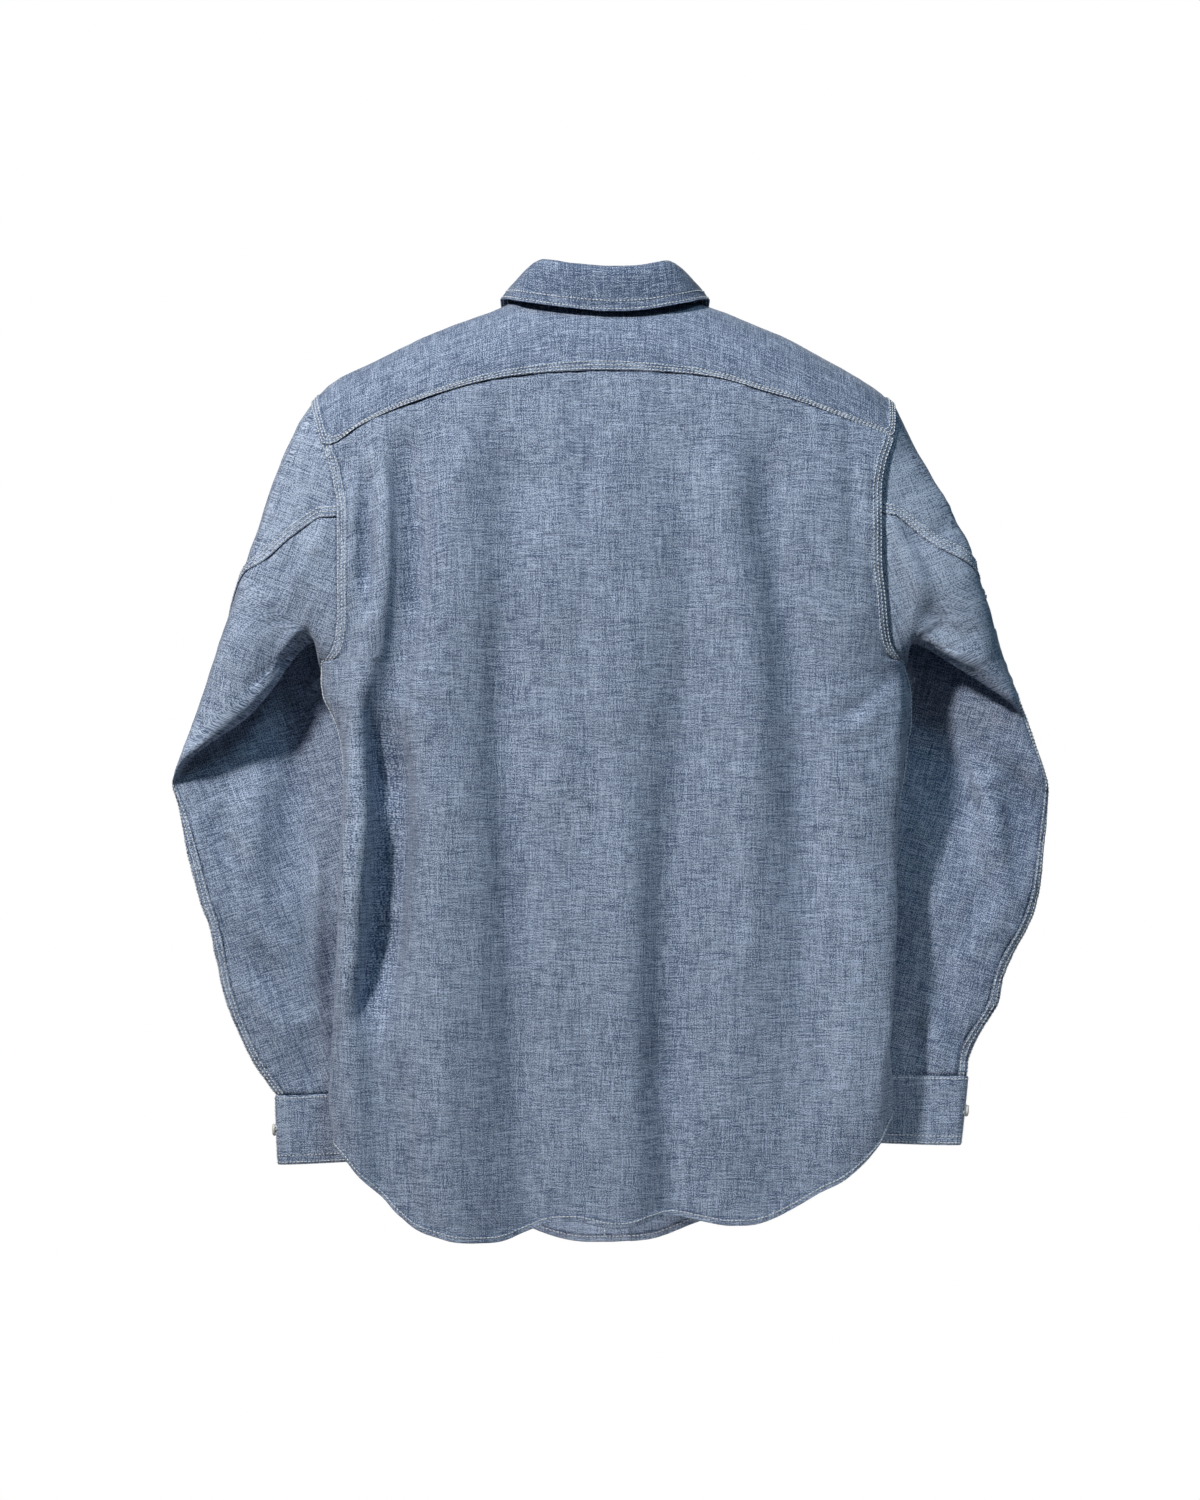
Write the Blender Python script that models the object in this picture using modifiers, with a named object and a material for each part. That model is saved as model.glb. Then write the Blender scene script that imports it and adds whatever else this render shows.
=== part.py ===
"""A chambray shirt that hangs open and empty, cut and sewn piece by piece.

Metres, +Z up. The back of the shirt faces -Y, the wearer's left is -X, and the
origin is the middle of the neck opening, where the shirt is held.

Every piece of cloth is a wall of constant thickness on a grid of middle points.
The body is one smooth surface, torso(), and each sleeve is a row of loops. A
panel takes its grid from them, and panels that are sewn together share the
points of their seam and the direction of the wall there.
"""
import math

import bmesh
import bpy
import numpy as np
from mathutils import Vector

MM = 0.001
CLOTH = 1.2 * MM            # thickness of every wall
SEAM_GAP = 0.3 * MM         # space between two sewn edges
LAYER_GAP = 0.5 * MM        # space between a panel and what lies on it
ROOF = 60 * MM              # height over which the shoulders round over
UNDERARM = -295 * MM        # level where the side seams meet the sleeves
LAP = 2.8 * MM              # how far the outer front stands off the inner one
PLACKET = 34 * MM           # width of the strip on the outer front
CUFF_DEPTH = 57 * MM        # cuff, from its seam to its edge
CUFF_GAP = 0.5 * MM         # the cuff starts this far below the sleeve's end
CUFF_OVERLAP = 3.2 * MM     # how far the cuff's under end lies inside
BUTTON_RADIUS = 5.6 * MM
BUTTON_THICKNESS = 2.6 * MM
BUTTON_SIDES = 16
BUTTON_RIM = 0.7 * MM
FRONT_BUTTONS = 6
BUTTON_ROW = 1.6            # the first and last button are this many rows from neck and hem
CUFF_BUTTON_RADIUS = 5.0 * MM
CUFF_BUTTON_COLUMN = 0.9    # how many columns it is from the cuff's outside end
CUFF_BUTTON_RISE = 0.3 * MM # extra room, where the cuff is more curved

BODY_ROWS = 10              # hem to underarm
ARM_ROWS = 9                # underarm to yoke
BACK_COLUMNS = 30
YOKE_ROWS = 5
YOKE_SIDE_COLUMNS = 4       # along each armhole
SEAM_ROW = 6                # armhole row where the sleeve's back seam starts


def table(columns, *rows):
    """A short table by the names of its columns. Lengths are in millimetres, angles in degrees."""
    return {name: np.array([row[i] for row in rows], float) for i, name in enumerate(columns.split())}


def smooth(xs, ys, at):
    """A smooth curve through the points of a table (its ends are kept beyond)."""
    order = np.argsort(xs)
    xs, ys = np.asarray(xs, float)[order], np.asarray(ys, float)[order]
    at = np.clip(np.asarray(at, float), xs[0], xs[-1])
    steps, rises = np.diff(xs), np.diff(ys)
    slopes = rises / steps
    tangents = np.concatenate(([slopes[0]], (slopes[:-1] + slopes[1:]) / 2, [slopes[-1]]))
    flat = slopes[:-1] * slopes[1:] <= 0
    tangents[1:-1][flat] = 0
    i = np.clip(np.searchsorted(xs, at, side="right") - 1, 0, len(steps) - 1)
    t = (at - xs[i]) / steps[i]
    return (ys[i] * (1 + 2 * t) * (1 - t) ** 2 + tangents[i] * steps[i] * t * (1 - t) ** 2
            + ys[i + 1] * t * t * (3 - 2 * t) - tangents[i + 1] * steps[i] * t * t * (1 - t))


def mix(a, b, t):
    return a + (b - a) * t


def ease(t):
    t = np.clip(t, 0, 1)
    return t * t * (3 - 2 * t)


# ---------------------------------------------------------------- the body

# Half-sections of the body at each level: its two edges, its middle, and how
# far the back, the side edge and the front stand from the plane of the neck.
# "fall" shapes the front's side: 0.5 is round, 1 falls away like a hip.
BODY = table(
    "z     left  right middle back  side front fall",
    (10,   -275, 275,  0,     -40,  0,   40,   0.50),
    (-60,  -275, 275,  0,     -48,  -1,  45,   0.50),
    (-150, -270, 272,  0,     -52,  -3,  49,   0.50),
    (-200, -264, 268,  0,     -53,  -5,  49,   0.50),
    (-250, -248, 256,  1,     -53,  -8,  48,   0.55),
    (-280, -236, 248,  2,     -52,  -9,  47,   0.65),
    (-295, -231, 243.5, 3,    -52,  -10, 46,   0.72),
    (-308, -231, 247,  4,     -51,  -10, 46,   0.76),
    (-322, -229, 249,  4,     -51,  -11, 45,   0.80),
    (-340, -220, 249,  5,     -51,  -12, 44,   0.85),
    (-360, -214, 246,  6,     -50,  -13, 43,   0.90),
    (-385, -211, 243,  7,     -50,  -14, 42,   0.95),
    (-420, -213, 238,  7,     -49,  -14, 41,   1.00),
    (-500, -216, 233,  8,     -47,  -15, 39,   1.00),
    (-590, -221, 230,  8,     -43,  -16, 36,   1.00),
    (-650, -225, 235,  8,     -40,  -17, 34,   1.00),
    (-700, -218, 224,  8,     -37,  -17, 31,   1.00),
    (-780, -208, 212,  8,     -34,  -17, 28,   1.00))

# The line of the shoulders, seen from behind.
SHOULDER = table(
    "x     z",
    (-300, -135), (-262, -103), (-240, -81), (-219, -63), (-188, -46), (-154, -29.5),
    (-111, -12.5), (-84, -2), (-72, 2), (-60, 5), (-40, 9), (0, 11), (40, 9), (60, 5),
    (72, 2), (84, -2), (112, -12.5), (151, -29.5), (179, -45), (210, -62), (236, -81),
    (262, -107), (300, -138))

# The hem, round the body: -2 and 2 centre front, -1 and 1 the side edges, 0 centre back.
HEM = table(
    "round  z",
    (-2.00, -772), (-1.90, -772), (-1.80, -769), (-1.65, -757), (-1.50, -738),
    (-1.35, -708), (-1.22, -674), (-1.12, -656), (-1.05, -664), (-1.00, -688),
    (-0.93, -711), (-0.85, -729), (-0.76, -750), (-0.66, -760), (-0.52, -765),
    (-0.42, -764), (-0.33, -757), (-0.25, -750), (-0.15, -748), (0.00, -753),
    (0.06, -752), (0.15, -746), (0.22, -744), (0.35, -748), (0.45, -751),
    (0.55, -750), (0.65, -742), (0.78, -725), (0.89, -711), (0.96, -690),
    (1.00, -664), (1.05, -650), (1.13, -655), (1.25, -688), (1.40, -725),
    (1.55, -745), (1.70, -758), (1.85, -769), (2.00, -772))

SIDE_SEAM = {-1: -1.12, 1: 1.06}        # place of the side seams at the hem, round the body

# The armhole's edge on each side, seen from behind; the front is cut deeper.
ARMHOLE = table(
    "z     left   right  front_in",
    (-60,  -243,  240,   0),
    (-81,  -240,  237,   0),
    (-100, -235,  236,   2),
    (-117, -230,  233,   4),
    (-130, -225,  228,   6),
    (-150, -220,  224,   8),
    (-170, -217,  223.5, 9),
    (-210, -217,  223.5, 9),
    (-242, -217,  227,   7),
    (-265, -218,  229,   5),
    (-284, -222,  234,   2),
    (-295, -231,  243.5, 0))

# The yoke's seam across the back, and in front of the shoulders (over the ridge).
YOKE_BACK = table(
    "x     z",
    (-231, -116), (-225.5, -118), (-198.5, -102.5), (-174, -91), (-150, -82), (-126, -74),
    (-102, -67.5), (-70, -62), (0, -58), (78, -62), (102, -66.5), (126, -74), (144, -79),
    (162, -84.5), (186, -93.5), (210, -102.5), (234, -111.5))
YOKE_FRONT = 35 * MM        # along the cloth, from the ridge to the front seam
YOKE_CORNER = -116 * MM     # about the level where that seam meets the armholes

# Neck opening, laid out over the ridge: its half width, its middle and half length.
NECK_HALF_WIDTH = 72 * MM
NECK_MIDDLE = 22 * MM
NECK_HALF_LENGTH = 72 * MM
NECK_FRONT_STEPS = (66, 57, 45, 32, 19, 2, -15)     # distance from centre front, in mm

# Where the two fronts end, below the neck.
FRONT_EDGE = table(
    "z     outer inner",
    (-48,  15,   -15),
    (-300, 18,   -8),
    (-600, 24,   10),
    (-772, 29,   21))

# Large folds of the back and of the front: a ridge stands out, a trough goes in
# (negative height). Each follows a line of x at the levels given.
FOLD_LEVELS = (-90, -200, -320, -440, -580, -760)
HEIGHT_LEVELS = (-770, -420, -130)      # where height3, height2 and height1 hold
FOLD_TOP, FOLD_FADE = -85, 70           # folds start here and reach full height this far down
BACK_ROUND, FRONT_ROUND = 2.7, 2.2      # how square the body's half-sections are, 2 for round
FOLDS = table(
    "face  x1    x2    x3    x4    x5    x6    width height1 height2 height3",
    (-1,   -190, -186, -200, -206, -208, -196, 11,   2.0,    11.5,   4.0),
    (-1,   -165, -160, -172, -178, -184, -178, 13,   -4.5,   -11.5,  -5.0),
    (-1,   -130, -138, -142, -136, -136, -128, 26,   5.0,    9.0,    12.5),
    (-1,   -72,  -76,  -80,  -68,  -66,  -62,  24,   -5.0,   -8.0,   -11.0),
    (-1,   4,    10,   14,   10,   8,    14,   22,   2.5,    6.0,    9.5),
    (-1,   60,   66,   66,   60,   56,   58,   17,   -3.0,   -7.0,   -9.5),
    (-1,   92,   98,   116,  118,  112,  108,  18,   5.0,    7.5,    8.0),
    (-1,   128,  138,  158,  162,  160,  152,  14,   -5.0,   -8.0,   -5.0),
    (-1,   180,  184,  196,  196,  190,  184,  20,   2.5,    6.5,    6.0),
    (1,    -168, -172, -178, -176, -172, -160, 18,   3.0,    5.0,    6.0),
    (1,    -118, -122, -126, -130, -122, -112, 17,   -3.0,   -6.0,   -7.0),
    (1,    -70,  -74,  -80,  -76,  -70,  -66,  20,   2.0,    5.0,    7.0),
    (1,    70,   78,   86,   84,   80,   84,   20,   2.5,    6.0,    7.0),
    (1,    120,  126,  134,  130,  128,  126,  16,   -3.0,   -6.0,   -6.0),
    (1,    170,  176,  184,  186,  178,  172,  16,   3.0,    4.0,    5.0))


def level(column, z):
    return smooth(BODY["z"], BODY[column], z / MM) * MM


def ridge(x):
    return smooth(SHOULDER["x"], SHOULDER["z"], x / MM) * MM


def fold_height(face, x, z):
    """How far the folds of one face stand out at a point, in metres."""
    total = np.zeros(np.broadcast(x, z).shape)
    for i in np.flatnonzero(FOLDS["face"] == face):
        line = [FOLDS["x%d" % n][i] for n in range(1, 7)]
        middle = smooth(FOLD_LEVELS, line, z / MM)
        heights = [FOLDS["height%d" % n][i] for n in (1, 2, 3)]
        height = smooth(HEIGHT_LEVELS, heights[::-1], z / MM) * ease((FOLD_TOP - z / MM) / FOLD_FADE)
        total = total + height * np.exp(-((x / MM - middle) / FOLDS["width"][i]) ** 2)
    return total * MM


def torso(around, z):
    """The body's surface. around runs -2, -1, 0, 1, 2 from centre front by the
    left edge, centre back and the right edge to centre front again."""
    around, z = np.broadcast_arrays(np.asarray(around, float), np.asarray(z, float))
    on_back = np.abs(around) <= 1
    across = np.where(on_back, np.abs(around), 2 - np.abs(around))
    middle = level("middle", z)
    half = np.where(around < 0, middle - level("left", z), level("right", z) - middle)
    x = middle + np.sign(around) * half * across
    x = np.where(around == 0, middle, x)
    inside = np.minimum(across, 1)
    round_back = (1 - inside ** BACK_ROUND) ** (1 / BACK_ROUND)
    round_front = (1 - inside ** FRONT_ROUND) ** smooth(BODY["z"], BODY["fall"], z / MM)
    reach = np.where(on_back, (level("back", z) - level("side", z)) * round_back,
                     (level("front", z) - level("side", z)) * round_front)
    drop = np.clip((ridge(x) - z) / ROOF, 0, 1)
    roof = np.sqrt(1 - (1 - drop) ** 2)
    folds = np.where(on_back, -fold_height(-1, x, z), fold_height(1, x, z))
    side_fade = np.where(on_back, round_back, round_front)
    y = level("side", z) + reach * roof + folds * side_fade * roof
    return np.stack((x, y, z), axis=-1)


def around_at(x, z, face):
    """The place round the body of a point at x, on the back (-1) or the front (1)."""
    middle = level("middle", z)
    half = np.where(x < middle, middle - level("left", z), level("right", z) - middle)
    across = np.clip(np.abs(x - middle) / half, 0, 1)
    side = np.where(x < middle, -1.0, 1.0)
    return side * np.where(face < 0, across, 2 - across)


def on_body(x, z, face):
    return torso(around_at(x, z, face), z)


def over_shoulder(x, w):
    """A point of the body at x, w along the cloth from the ridge (back negative)."""
    quarter = ROOF * math.pi / 2
    angle = np.clip(np.abs(w) / ROOF, 0, math.pi / 2)
    z = ridge(x) - ROOF * (1 - np.cos(angle)) - np.maximum(np.abs(w) - quarter, 0)
    return on_body(x, z, np.where(w < 0, -1, 1))


def along_cloth(x, z, face):
    """The distance from the ridge of a point at x, z: the inverse of over_shoulder()."""
    drop = np.maximum(ridge(x) - z, 0)
    curved = ROOF * np.arccos(np.clip(1 - drop / ROOF, 0, 1))
    return face * np.where(drop < ROOF, curved, ROOF * math.pi / 2 + drop - ROOF)


def armhole_x(side, z, face=-1):
    x = smooth(ARMHOLE["z"], ARMHOLE["left" if side < 0 else "right"], z / MM)
    if face > 0:
        x = x - side * smooth(ARMHOLE["z"], ARMHOLE["front_in"], z / MM)
    return x * MM


def hem(around):
    return smooth(HEM["round"], HEM["z"], around) * MM


def spaced(points, count):
    """Places 0..1 that cut a line of points into count equal lengths."""
    lengths = np.linalg.norm(np.diff(points, axis=0), axis=1)
    run = np.concatenate(([0], np.cumsum(lengths)))
    return np.interp(np.linspace(0, 1, count + 1), run / run[-1], np.linspace(0, 1, len(points)))


def shoulder_tip(side):
    """Level of the yoke's back corner at the armhole."""
    x = armhole_x(side, YOKE_CORNER)
    return float(smooth(YOKE_BACK["x"], YOKE_BACK["z"], x / MM) * MM)


def back_grid():
    """Rows from the hem up to the yoke seam, columns from left to right."""
    rows = []
    fine = np.linspace(SIDE_SEAM[-1], SIDE_SEAM[1], 241)
    for t in np.linspace(0, 1, BODY_ROWS + 1):
        start, end = mix(SIDE_SEAM[-1], -1.0, ease(t)), mix(SIDE_SEAM[1], 1.0, ease(t))
        places = mix(start, end, (fine - fine[0]) / (fine[-1] - fine[0]))
        heights = mix(hem(places), UNDERARM, t)
        line = torso(places, heights)
        at = np.interp(spaced(line, BACK_COLUMNS), np.linspace(0, 1, len(places)), places)
        rows.append(torso(at, mix(hem(at), UNDERARM, t)))
    first = rows[-1]
    share = (first[:, 0] - first[0, 0]) / (first[-1, 0] - first[0, 0])
    seam = yoke_back_line()
    seam_share = (seam[:, 0] - seam[0, 0]) / (seam[-1, 0] - seam[0, 0])
    for t in np.linspace(0, 1, ARM_ROWS + 1)[1:]:
        left_z, right_z = mix(UNDERARM, seam[0, 2], t), mix(UNDERARM, seam[-1, 2], t)
        left, right = armhole_x(-1, left_z), armhole_x(1, right_z)
        x = mix(left, right, mix(share, seam_share, ease(t)))
        z = mix(first[:, 2], seam[:, 2], t)
        rows.append(on_body(x, z, -1))
    rows[-1] = seam
    return np.array(rows)


def yoke_back_line():
    """Points of the seam between back and yoke, from left to right."""
    left, right = armhole_x(-1, shoulder_tip(-1)), armhole_x(1, shoulder_tip(1))
    fine = np.linspace(left, right, 241)
    z = smooth(YOKE_BACK["x"], YOKE_BACK["z"], fine / MM) * MM
    at = np.interp(spaced(on_body(fine, z, -1), BACK_COLUMNS), np.linspace(0, 1, 241), fine)
    return on_body(at, smooth(YOKE_BACK["x"], YOKE_BACK["z"], at / MM) * MM, -1)


def neck_point(angle):
    """The neck seam; angle 0 is centre back, positive towards the right."""
    x = NECK_HALF_WIDTH * np.sin(angle)
    w = NECK_MIDDLE - NECK_HALF_LENGTH * np.cos(angle)
    return over_shoulder(x, w)


YOKE_NECK_END = math.acos((NECK_MIDDLE - YOKE_FRONT) / NECK_HALF_LENGTH)


def yoke_outline(side):
    """The yoke's armhole edge in x and w, from its front corner to its back corner."""
    back_w = along_cloth(armhole_x(side, shoulder_tip(side)), shoulder_tip(side), -1)
    w = np.linspace(YOKE_FRONT, back_w, YOKE_SIDE_COLUMNS + 1)
    x = np.full(w.shape, armhole_x(side, YOKE_CORNER))
    for _ in range(8):
        z = ridge(x) - ROOF * (1 - np.cos(np.clip(np.abs(w) / ROOF, 0, math.pi / 2)))
        x = np.where(w > 0, armhole_x(side, z, 1), armhole_x(side, z))
    return x, w


def yoke_grid():
    """Rows from the neck out, columns from the left front seam round the back."""
    left_x, left_w = yoke_outline(-1)
    right_x, right_w = yoke_outline(1)
    seam = yoke_back_line()
    seam_w = along_cloth(seam[:, 0], seam[:, 2], -1)
    outer_x = np.concatenate((left_x[:-1], seam[:, 0], right_x[::-1][1:]))
    outer_w = np.concatenate((left_w[:-1], seam_w, right_w[::-1][1:]))
    angles = np.linspace(-YOKE_NECK_END, YOKE_NECK_END, len(outer_x))
    inner_x = NECK_HALF_WIDTH * np.sin(angles)
    inner_w = NECK_MIDDLE - NECK_HALF_LENGTH * np.cos(angles)
    rows = []
    for t in np.linspace(0, 1, YOKE_ROWS + 1):
        rows.append(over_shoulder(mix(inner_x, outer_x, t), mix(inner_w, outer_w, t)))
    rows[-1][YOKE_SIDE_COLUMNS:YOKE_SIDE_COLUMNS + BACK_COLUMNS + 1] = seam
    return np.array(rows), angles


def front_lap(x, side):
    """How far the outer front stands off at x, towards its free edge."""
    return LAP * ease((x / MM + 46) / 22) if side < 0 else np.zeros(np.shape(x))


def front_grid(side, yoke):
    """One front: rows from the hem up, columns from the side seam to the free edge."""
    column = "outer" if side < 0 else "inner"
    shoulder = yoke[::-1, 0] if side < 0 else yoke[::-1, -1]
    neck_x = side * np.array(NECK_FRONT_STEPS, float) * MM
    bend = math.pi - np.arcsin(np.abs(neck_x) / NECK_HALF_WIDTH)
    bend[-1] = math.pi + math.asin(abs(neck_x[-1]) / NECK_HALF_WIDTH)
    angles = side * bend
    top = np.concatenate((shoulder, neck_point(angles)))
    count = len(top) - 1
    rows = []
    for t in np.linspace(0, 1, BODY_ROWS + 1):
        start = mix(SIDE_SEAM[side], side * 1.0, ease(t))
        edge_z = mix(hem(2.0), UNDERARM, t)
        edge_x = smooth(FRONT_EDGE["z"], FRONT_EDGE[column], edge_z / MM) * MM
        fine = np.linspace(0, 1, 161)
        middle = level("middle", edge_z)
        past_middle = (middle - edge_x) * side / (level("right", edge_z) - middle)
        places = mix(abs(start), 2 + past_middle, fine)
        line = front_place(places, side, t)
        strip = PLACKET / np.linalg.norm(np.diff(line, axis=0), axis=1).sum()
        body_share = np.linspace(0, 1 - strip, count - 1)
        share = np.concatenate((body_share, [1 - strip / 2, 1.0]))
        run = np.concatenate(([0], np.cumsum(np.linalg.norm(np.diff(line, axis=0), axis=1))))
        rows.append(front_place(np.interp(share, run / run[-1], places), side, t))
    first = rows[-1].copy()
    low_share = (first[:, 0] - first[0, 0]) / (first[-1, 0] - first[0, 0])
    top_share = (top[:, 0] - top[0, 0]) / (top[-1, 0] - top[0, 0])
    for t in np.linspace(0, 1, ARM_ROWS + 1)[1:]:
        side_z = mix(UNDERARM, top[0, 2], t)
        edge_z = mix(UNDERARM, top[-1, 2], t)
        edge_x = smooth(FRONT_EDGE["z"], FRONT_EDGE[column], edge_z / MM) * MM
        x = mix(armhole_x(side, side_z, 1), edge_x, mix(low_share, top_share, ease(t)))
        z = mix(first[:, 2], top[:, 2], t)
        rows.append(on_body(x, z, 1))
    rows[-1] = top
    grid = np.array(rows)
    grid[..., 1] += front_lap(grid[..., 0], side)
    return grid, angles


def front_place(places, side, t):
    """Points of a front's row: places run from the side edge, 1, past centre front, 2."""
    signed = np.where(places <= 2, side * places, -side * (4 - places))
    height = mix(hem(signed), UNDERARM, t)
    return torso(signed, height)


# ---------------------------------------------------------------- the sleeves

# Loops of each sleeve, from the armhole down. A loop has an outer and an inner
# point, and stands back and front of the line between them; "up" moves the
# middle of that half up or down. "seam" is the angle of the back seam, from the
# outer point towards the back, and "free" says how far the loop has left the
# armhole's own shape. The upper sleeve hangs over the forearm as a fold: the
# cloth turns up inside itself at fold_3 and down again at valley_2.
SLEEVE_COLUMNS = "out_x out_y out_z  in_x in_y in_z lift  back back_up  front front_up  seam free"
LEFT_SLEEVE = table(
    SLEEVE_COLUMNS,
    (-259, 0, -112, -237, -10, -297, 1, 37, 0, 30, 0, 74, 0.45),
    (-278, 0, -160, -237.3, -9.2, -298, 3, 36, 0, 30, 0, 66, 0.85),
    (-291, 0, -200, -237.6, -8.4, -299, 5, 35, 0, 29, 0, 50, 1),
    (-301, -1, -233, -237.8, -7.6, -299.8, 7, 34, 0, 28, 0, 16, 1),
    (-311, -1, -265, -238, -6.8, -300.6, 8, 33, 0, 28, 0, -12, 1),
    (-326, -2, -309, -238.2, -6, -301.4, 9, 30, 1, 27, 0, -24, 1),
    (-341, -3, -355, -238.3, -5.2, -302.4, 10, 26, 1, 26, -2, -14, 1),
    (-351, -6, -382, -238.4, -4.4, -303.6, 10, 21, -2, 25, -4, 0, 1),
    (-352.5, -5, -386.5, -238.4, -3.8, -304.8, 10, 18.5, -5, 24.5, -6, 2, 1),
    (-353.4, -4, -389.5, -238.4, -3.2, -306, 10, 16, -3, 24, -8, 4, 1),
    (-354, -2.5, -392, -238.4, -2.6, -307.2, 10, 12.5, 18, 23, -11, 6, 1),
    (-354.2, -1.5, -394.5, -238.2, -2, -308.6, 10, 9.5, 21, 22, -14, 8, 1),
    (-353.6, -0.5, -398, -238, -1, -310.2, 10, 6.5, 18, 21, -17, 10, 1),
    (-350.5, 0, -408, -237.5, 1, -313, 6, 6, 4, 19, -16, 14, 1),
    (-347, 0, -423, -230, 8, -320, 3, 6, 0, 18, -12, 20, 1),
    (-343.5, -1, -440, -212, 18, -345, 0, 8, 0, 17, -2, 24, 1),
    (-338, 0, -463, -200, 24, -396, 0, 11, 0, 15, 0, 26, 1),
    (-331, 0, -488, -194, 27, -446, 0, 13, 0, 15, 0, 27, 1),
    (-321, 0, -521, -190, 28, -494, 0, 14, 0, 15, 0, 28, 1),
    (-315, 1, -555, -184, 29, -540, 0, 14, 0, 15, 0, 28, 1),
    (-305, 2, -586, -175, 29, -582, 0, 14, 0, 15, 0, 29, 1),
    (-289, 3, -621, -164, 29, -618, 0, 14, 0, 15, 0, 30, 1),
    (-270, 4, -648, -156, 28, -644, 0, 14, 0, 14, 0, 31, 1))
RIGHT_SLEEVE = table(
    SLEEVE_COLUMNS,
    (254, 0, -114, 249, -10, -297, 1, 35, 0, 30, 0, 74, 0.45),
    (275, 0, -160, 250, -9.2, -298.3, 3, 35, 0, 30, 0, 66, 0.85),
    (290, 0, -192, 250.8, -8.4, -299.4, 5, 34, 0, 29, 0, 50, 1),
    (302, -1, -226, 251.4, -7.6, -300.4, 7, 33, 0, 28, 0, 18, 1),
    (313, -1, -252, 251.8, -6.8, -301.4, 8, 32, 0, 28, 0, -8, 1),
    (324, -2, -283, 252, -6, -302.4, 9, 30, 1, 27, 0, -18, 1),
    (332, -3, -304, 252.2, -5.2, -303.4, 10, 27, 3, 26, -2, -10, 1),
    (338, -6, -320, 252.4, -4.4, -304.6, 10, 22, 3, 25, -4, 0, 1),
    (339.4, -5, -324.5, 252.5, -3.8, -305.8, 10, 19.5, 0, 24.5, -6, 2, 1),
    (340.6, -4, -327.5, 252.6, -3.2, -307, 10, 17, 2, 24, -8, 4, 1),
    (341.6, -2.5, -330, 252.6, -2.6, -308.2, 10, 13.5, 20, 23, -11, 6, 1),
    (342.8, -1.5, -332.5, 252.6, -2, -309.6, 10, 10.5, 23, 22, -14, 8, 1),
    (344.4, -0.5, -336, 252.6, -1, -311.2, 10, 7.5, 20, 21, -17, 10, 1),
    (350, 0, -352, 252.4, 1, -314, 6, 7, 5, 19, -16, 12, 1),
    (358, -2, -376, 249, 9, -322, 3, 7, 0, 18, -10, 14, 1),
    (362.5, -1, -398, 238, 18, -348, 0, 8, 0, 17, -2, 15, 1),
    (360.5, 0, -430, 224, 24, -404, 0, 10, 0, 15, 0, 17, 1),
    (356, 0, -470, 216, 27, -450, 0, 13, 0, 15, 0, 20, 1),
    (347, 0, -505, 208, 28, -494, 0, 14, 0, 15, 0, 23, 1),
    (329, 1, -538, 200, 29, -534, 0, 14, 0, 15, 0, 25, 1),
    (319, 2, -574, 192, 29, -574, 0, 14, 0, 15, 0, 27, 1),
    (301, 3, -605, 184, 29, -606, 0, 14, 0, 15, 0, 29, 1),
    (297.5, 4, -632, 180, 28, -630, 0, 14, 0, 14, 0, 31, 1))
LIFT_AT, LIFT_REACH = 125, 22   # degrees round a loop where "lift" raises its back, and how widely

# Large folds on the backs of the sleeves: each runs over some of the loops at
# an angle that changes on the way; a ridge stands out, a trough goes in.
SLEEVE_FOLDS = table(
    "side loop1 loop2 angle1 angle2 width height",
    (-1, 14, 20, 116, 100, 20, -7),
    (-1, 13, 19, 84,  64,  18, 5),
    (-1, 17, 22, 140, 128, 16, 4),
    (-1, 1,  6,  112, 92,  17, -4),
    (-1, 0,  6,  138, 122, 15, 3),
    (1,  13, 18, 112, 66,  15, -7),
    (1,  13, 18, 88,  44,  14, 5),
    (1,  18, 22, 64,  84,  14, -4),
    (1,  17, 22, 130, 118, 18, 4),
    (1,  1,  6,  118, 100, 17, -4))
BLUNT = 0.75                # how blunt the two ends of a loop are, 1 for an ellipse
ARMHOLE_MIDDLE = (-8 * MM, -190 * MM)   # y and z
ARMHOLE_HALF = (32 * MM, 106 * MM)
EVEN_LOOP = 8               # from this loop on, columns are evenly turned
UNDER_COLUMNS = 12          # across the under sleeve, twice as close as the armhole's rows


def sleeve_fold(side, loop, angle):
    """How far the folds of a sleeve's back stand out on one loop, in mm."""
    total = np.zeros(np.shape(angle))
    for i in np.flatnonzero(SLEEVE_FOLDS["side"] == side):
        first, last = SLEEVE_FOLDS["loop1"][i], SLEEVE_FOLDS["loop2"][i]
        t = np.clip((loop - first) / (last - first), 0, 1)
        middle = mix(SLEEVE_FOLDS["angle1"][i], SLEEVE_FOLDS["angle2"][i], t)
        swell = math.sin(math.pi * t) ** 0.7
        away = (angle - middle) / SLEEVE_FOLDS["width"][i]
        total += SLEEVE_FOLDS["height"][i] * swell * np.exp(-away ** 2)
    return total


def loop_point(row, angle, fold=0.0):
    """A point of one sleeve loop; angle 0 outer, 90 back, 180 inner, -90 front."""
    outer = np.array([row["out_x"], row["out_y"], row["out_z"]])
    inner = np.array([row["in_x"], row["in_y"], row["in_z"]])
    middle, half = (outer + inner) / 2, (outer - inner) / 2
    c, s = np.cos(np.radians(angle))[..., None], np.sin(np.radians(angle))[..., None]
    depth = np.abs(s) ** BLUNT
    lift = row["lift"] * np.exp(-((np.asarray(angle)[..., None] - LIFT_AT) / LIFT_REACH) ** 2)
    back = np.concatenate((0 * s, -row["back"] * depth - np.asarray(fold)[..., None] * s * s,
                           row["back_up"] * np.abs(s) ** 3 + lift), axis=-1)
    front = np.concatenate((0 * s, row["front"] * depth, row["front_up"] * s * s), axis=-1)
    return (middle + half * c + np.where(s > 0, back, front)) * MM


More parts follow.
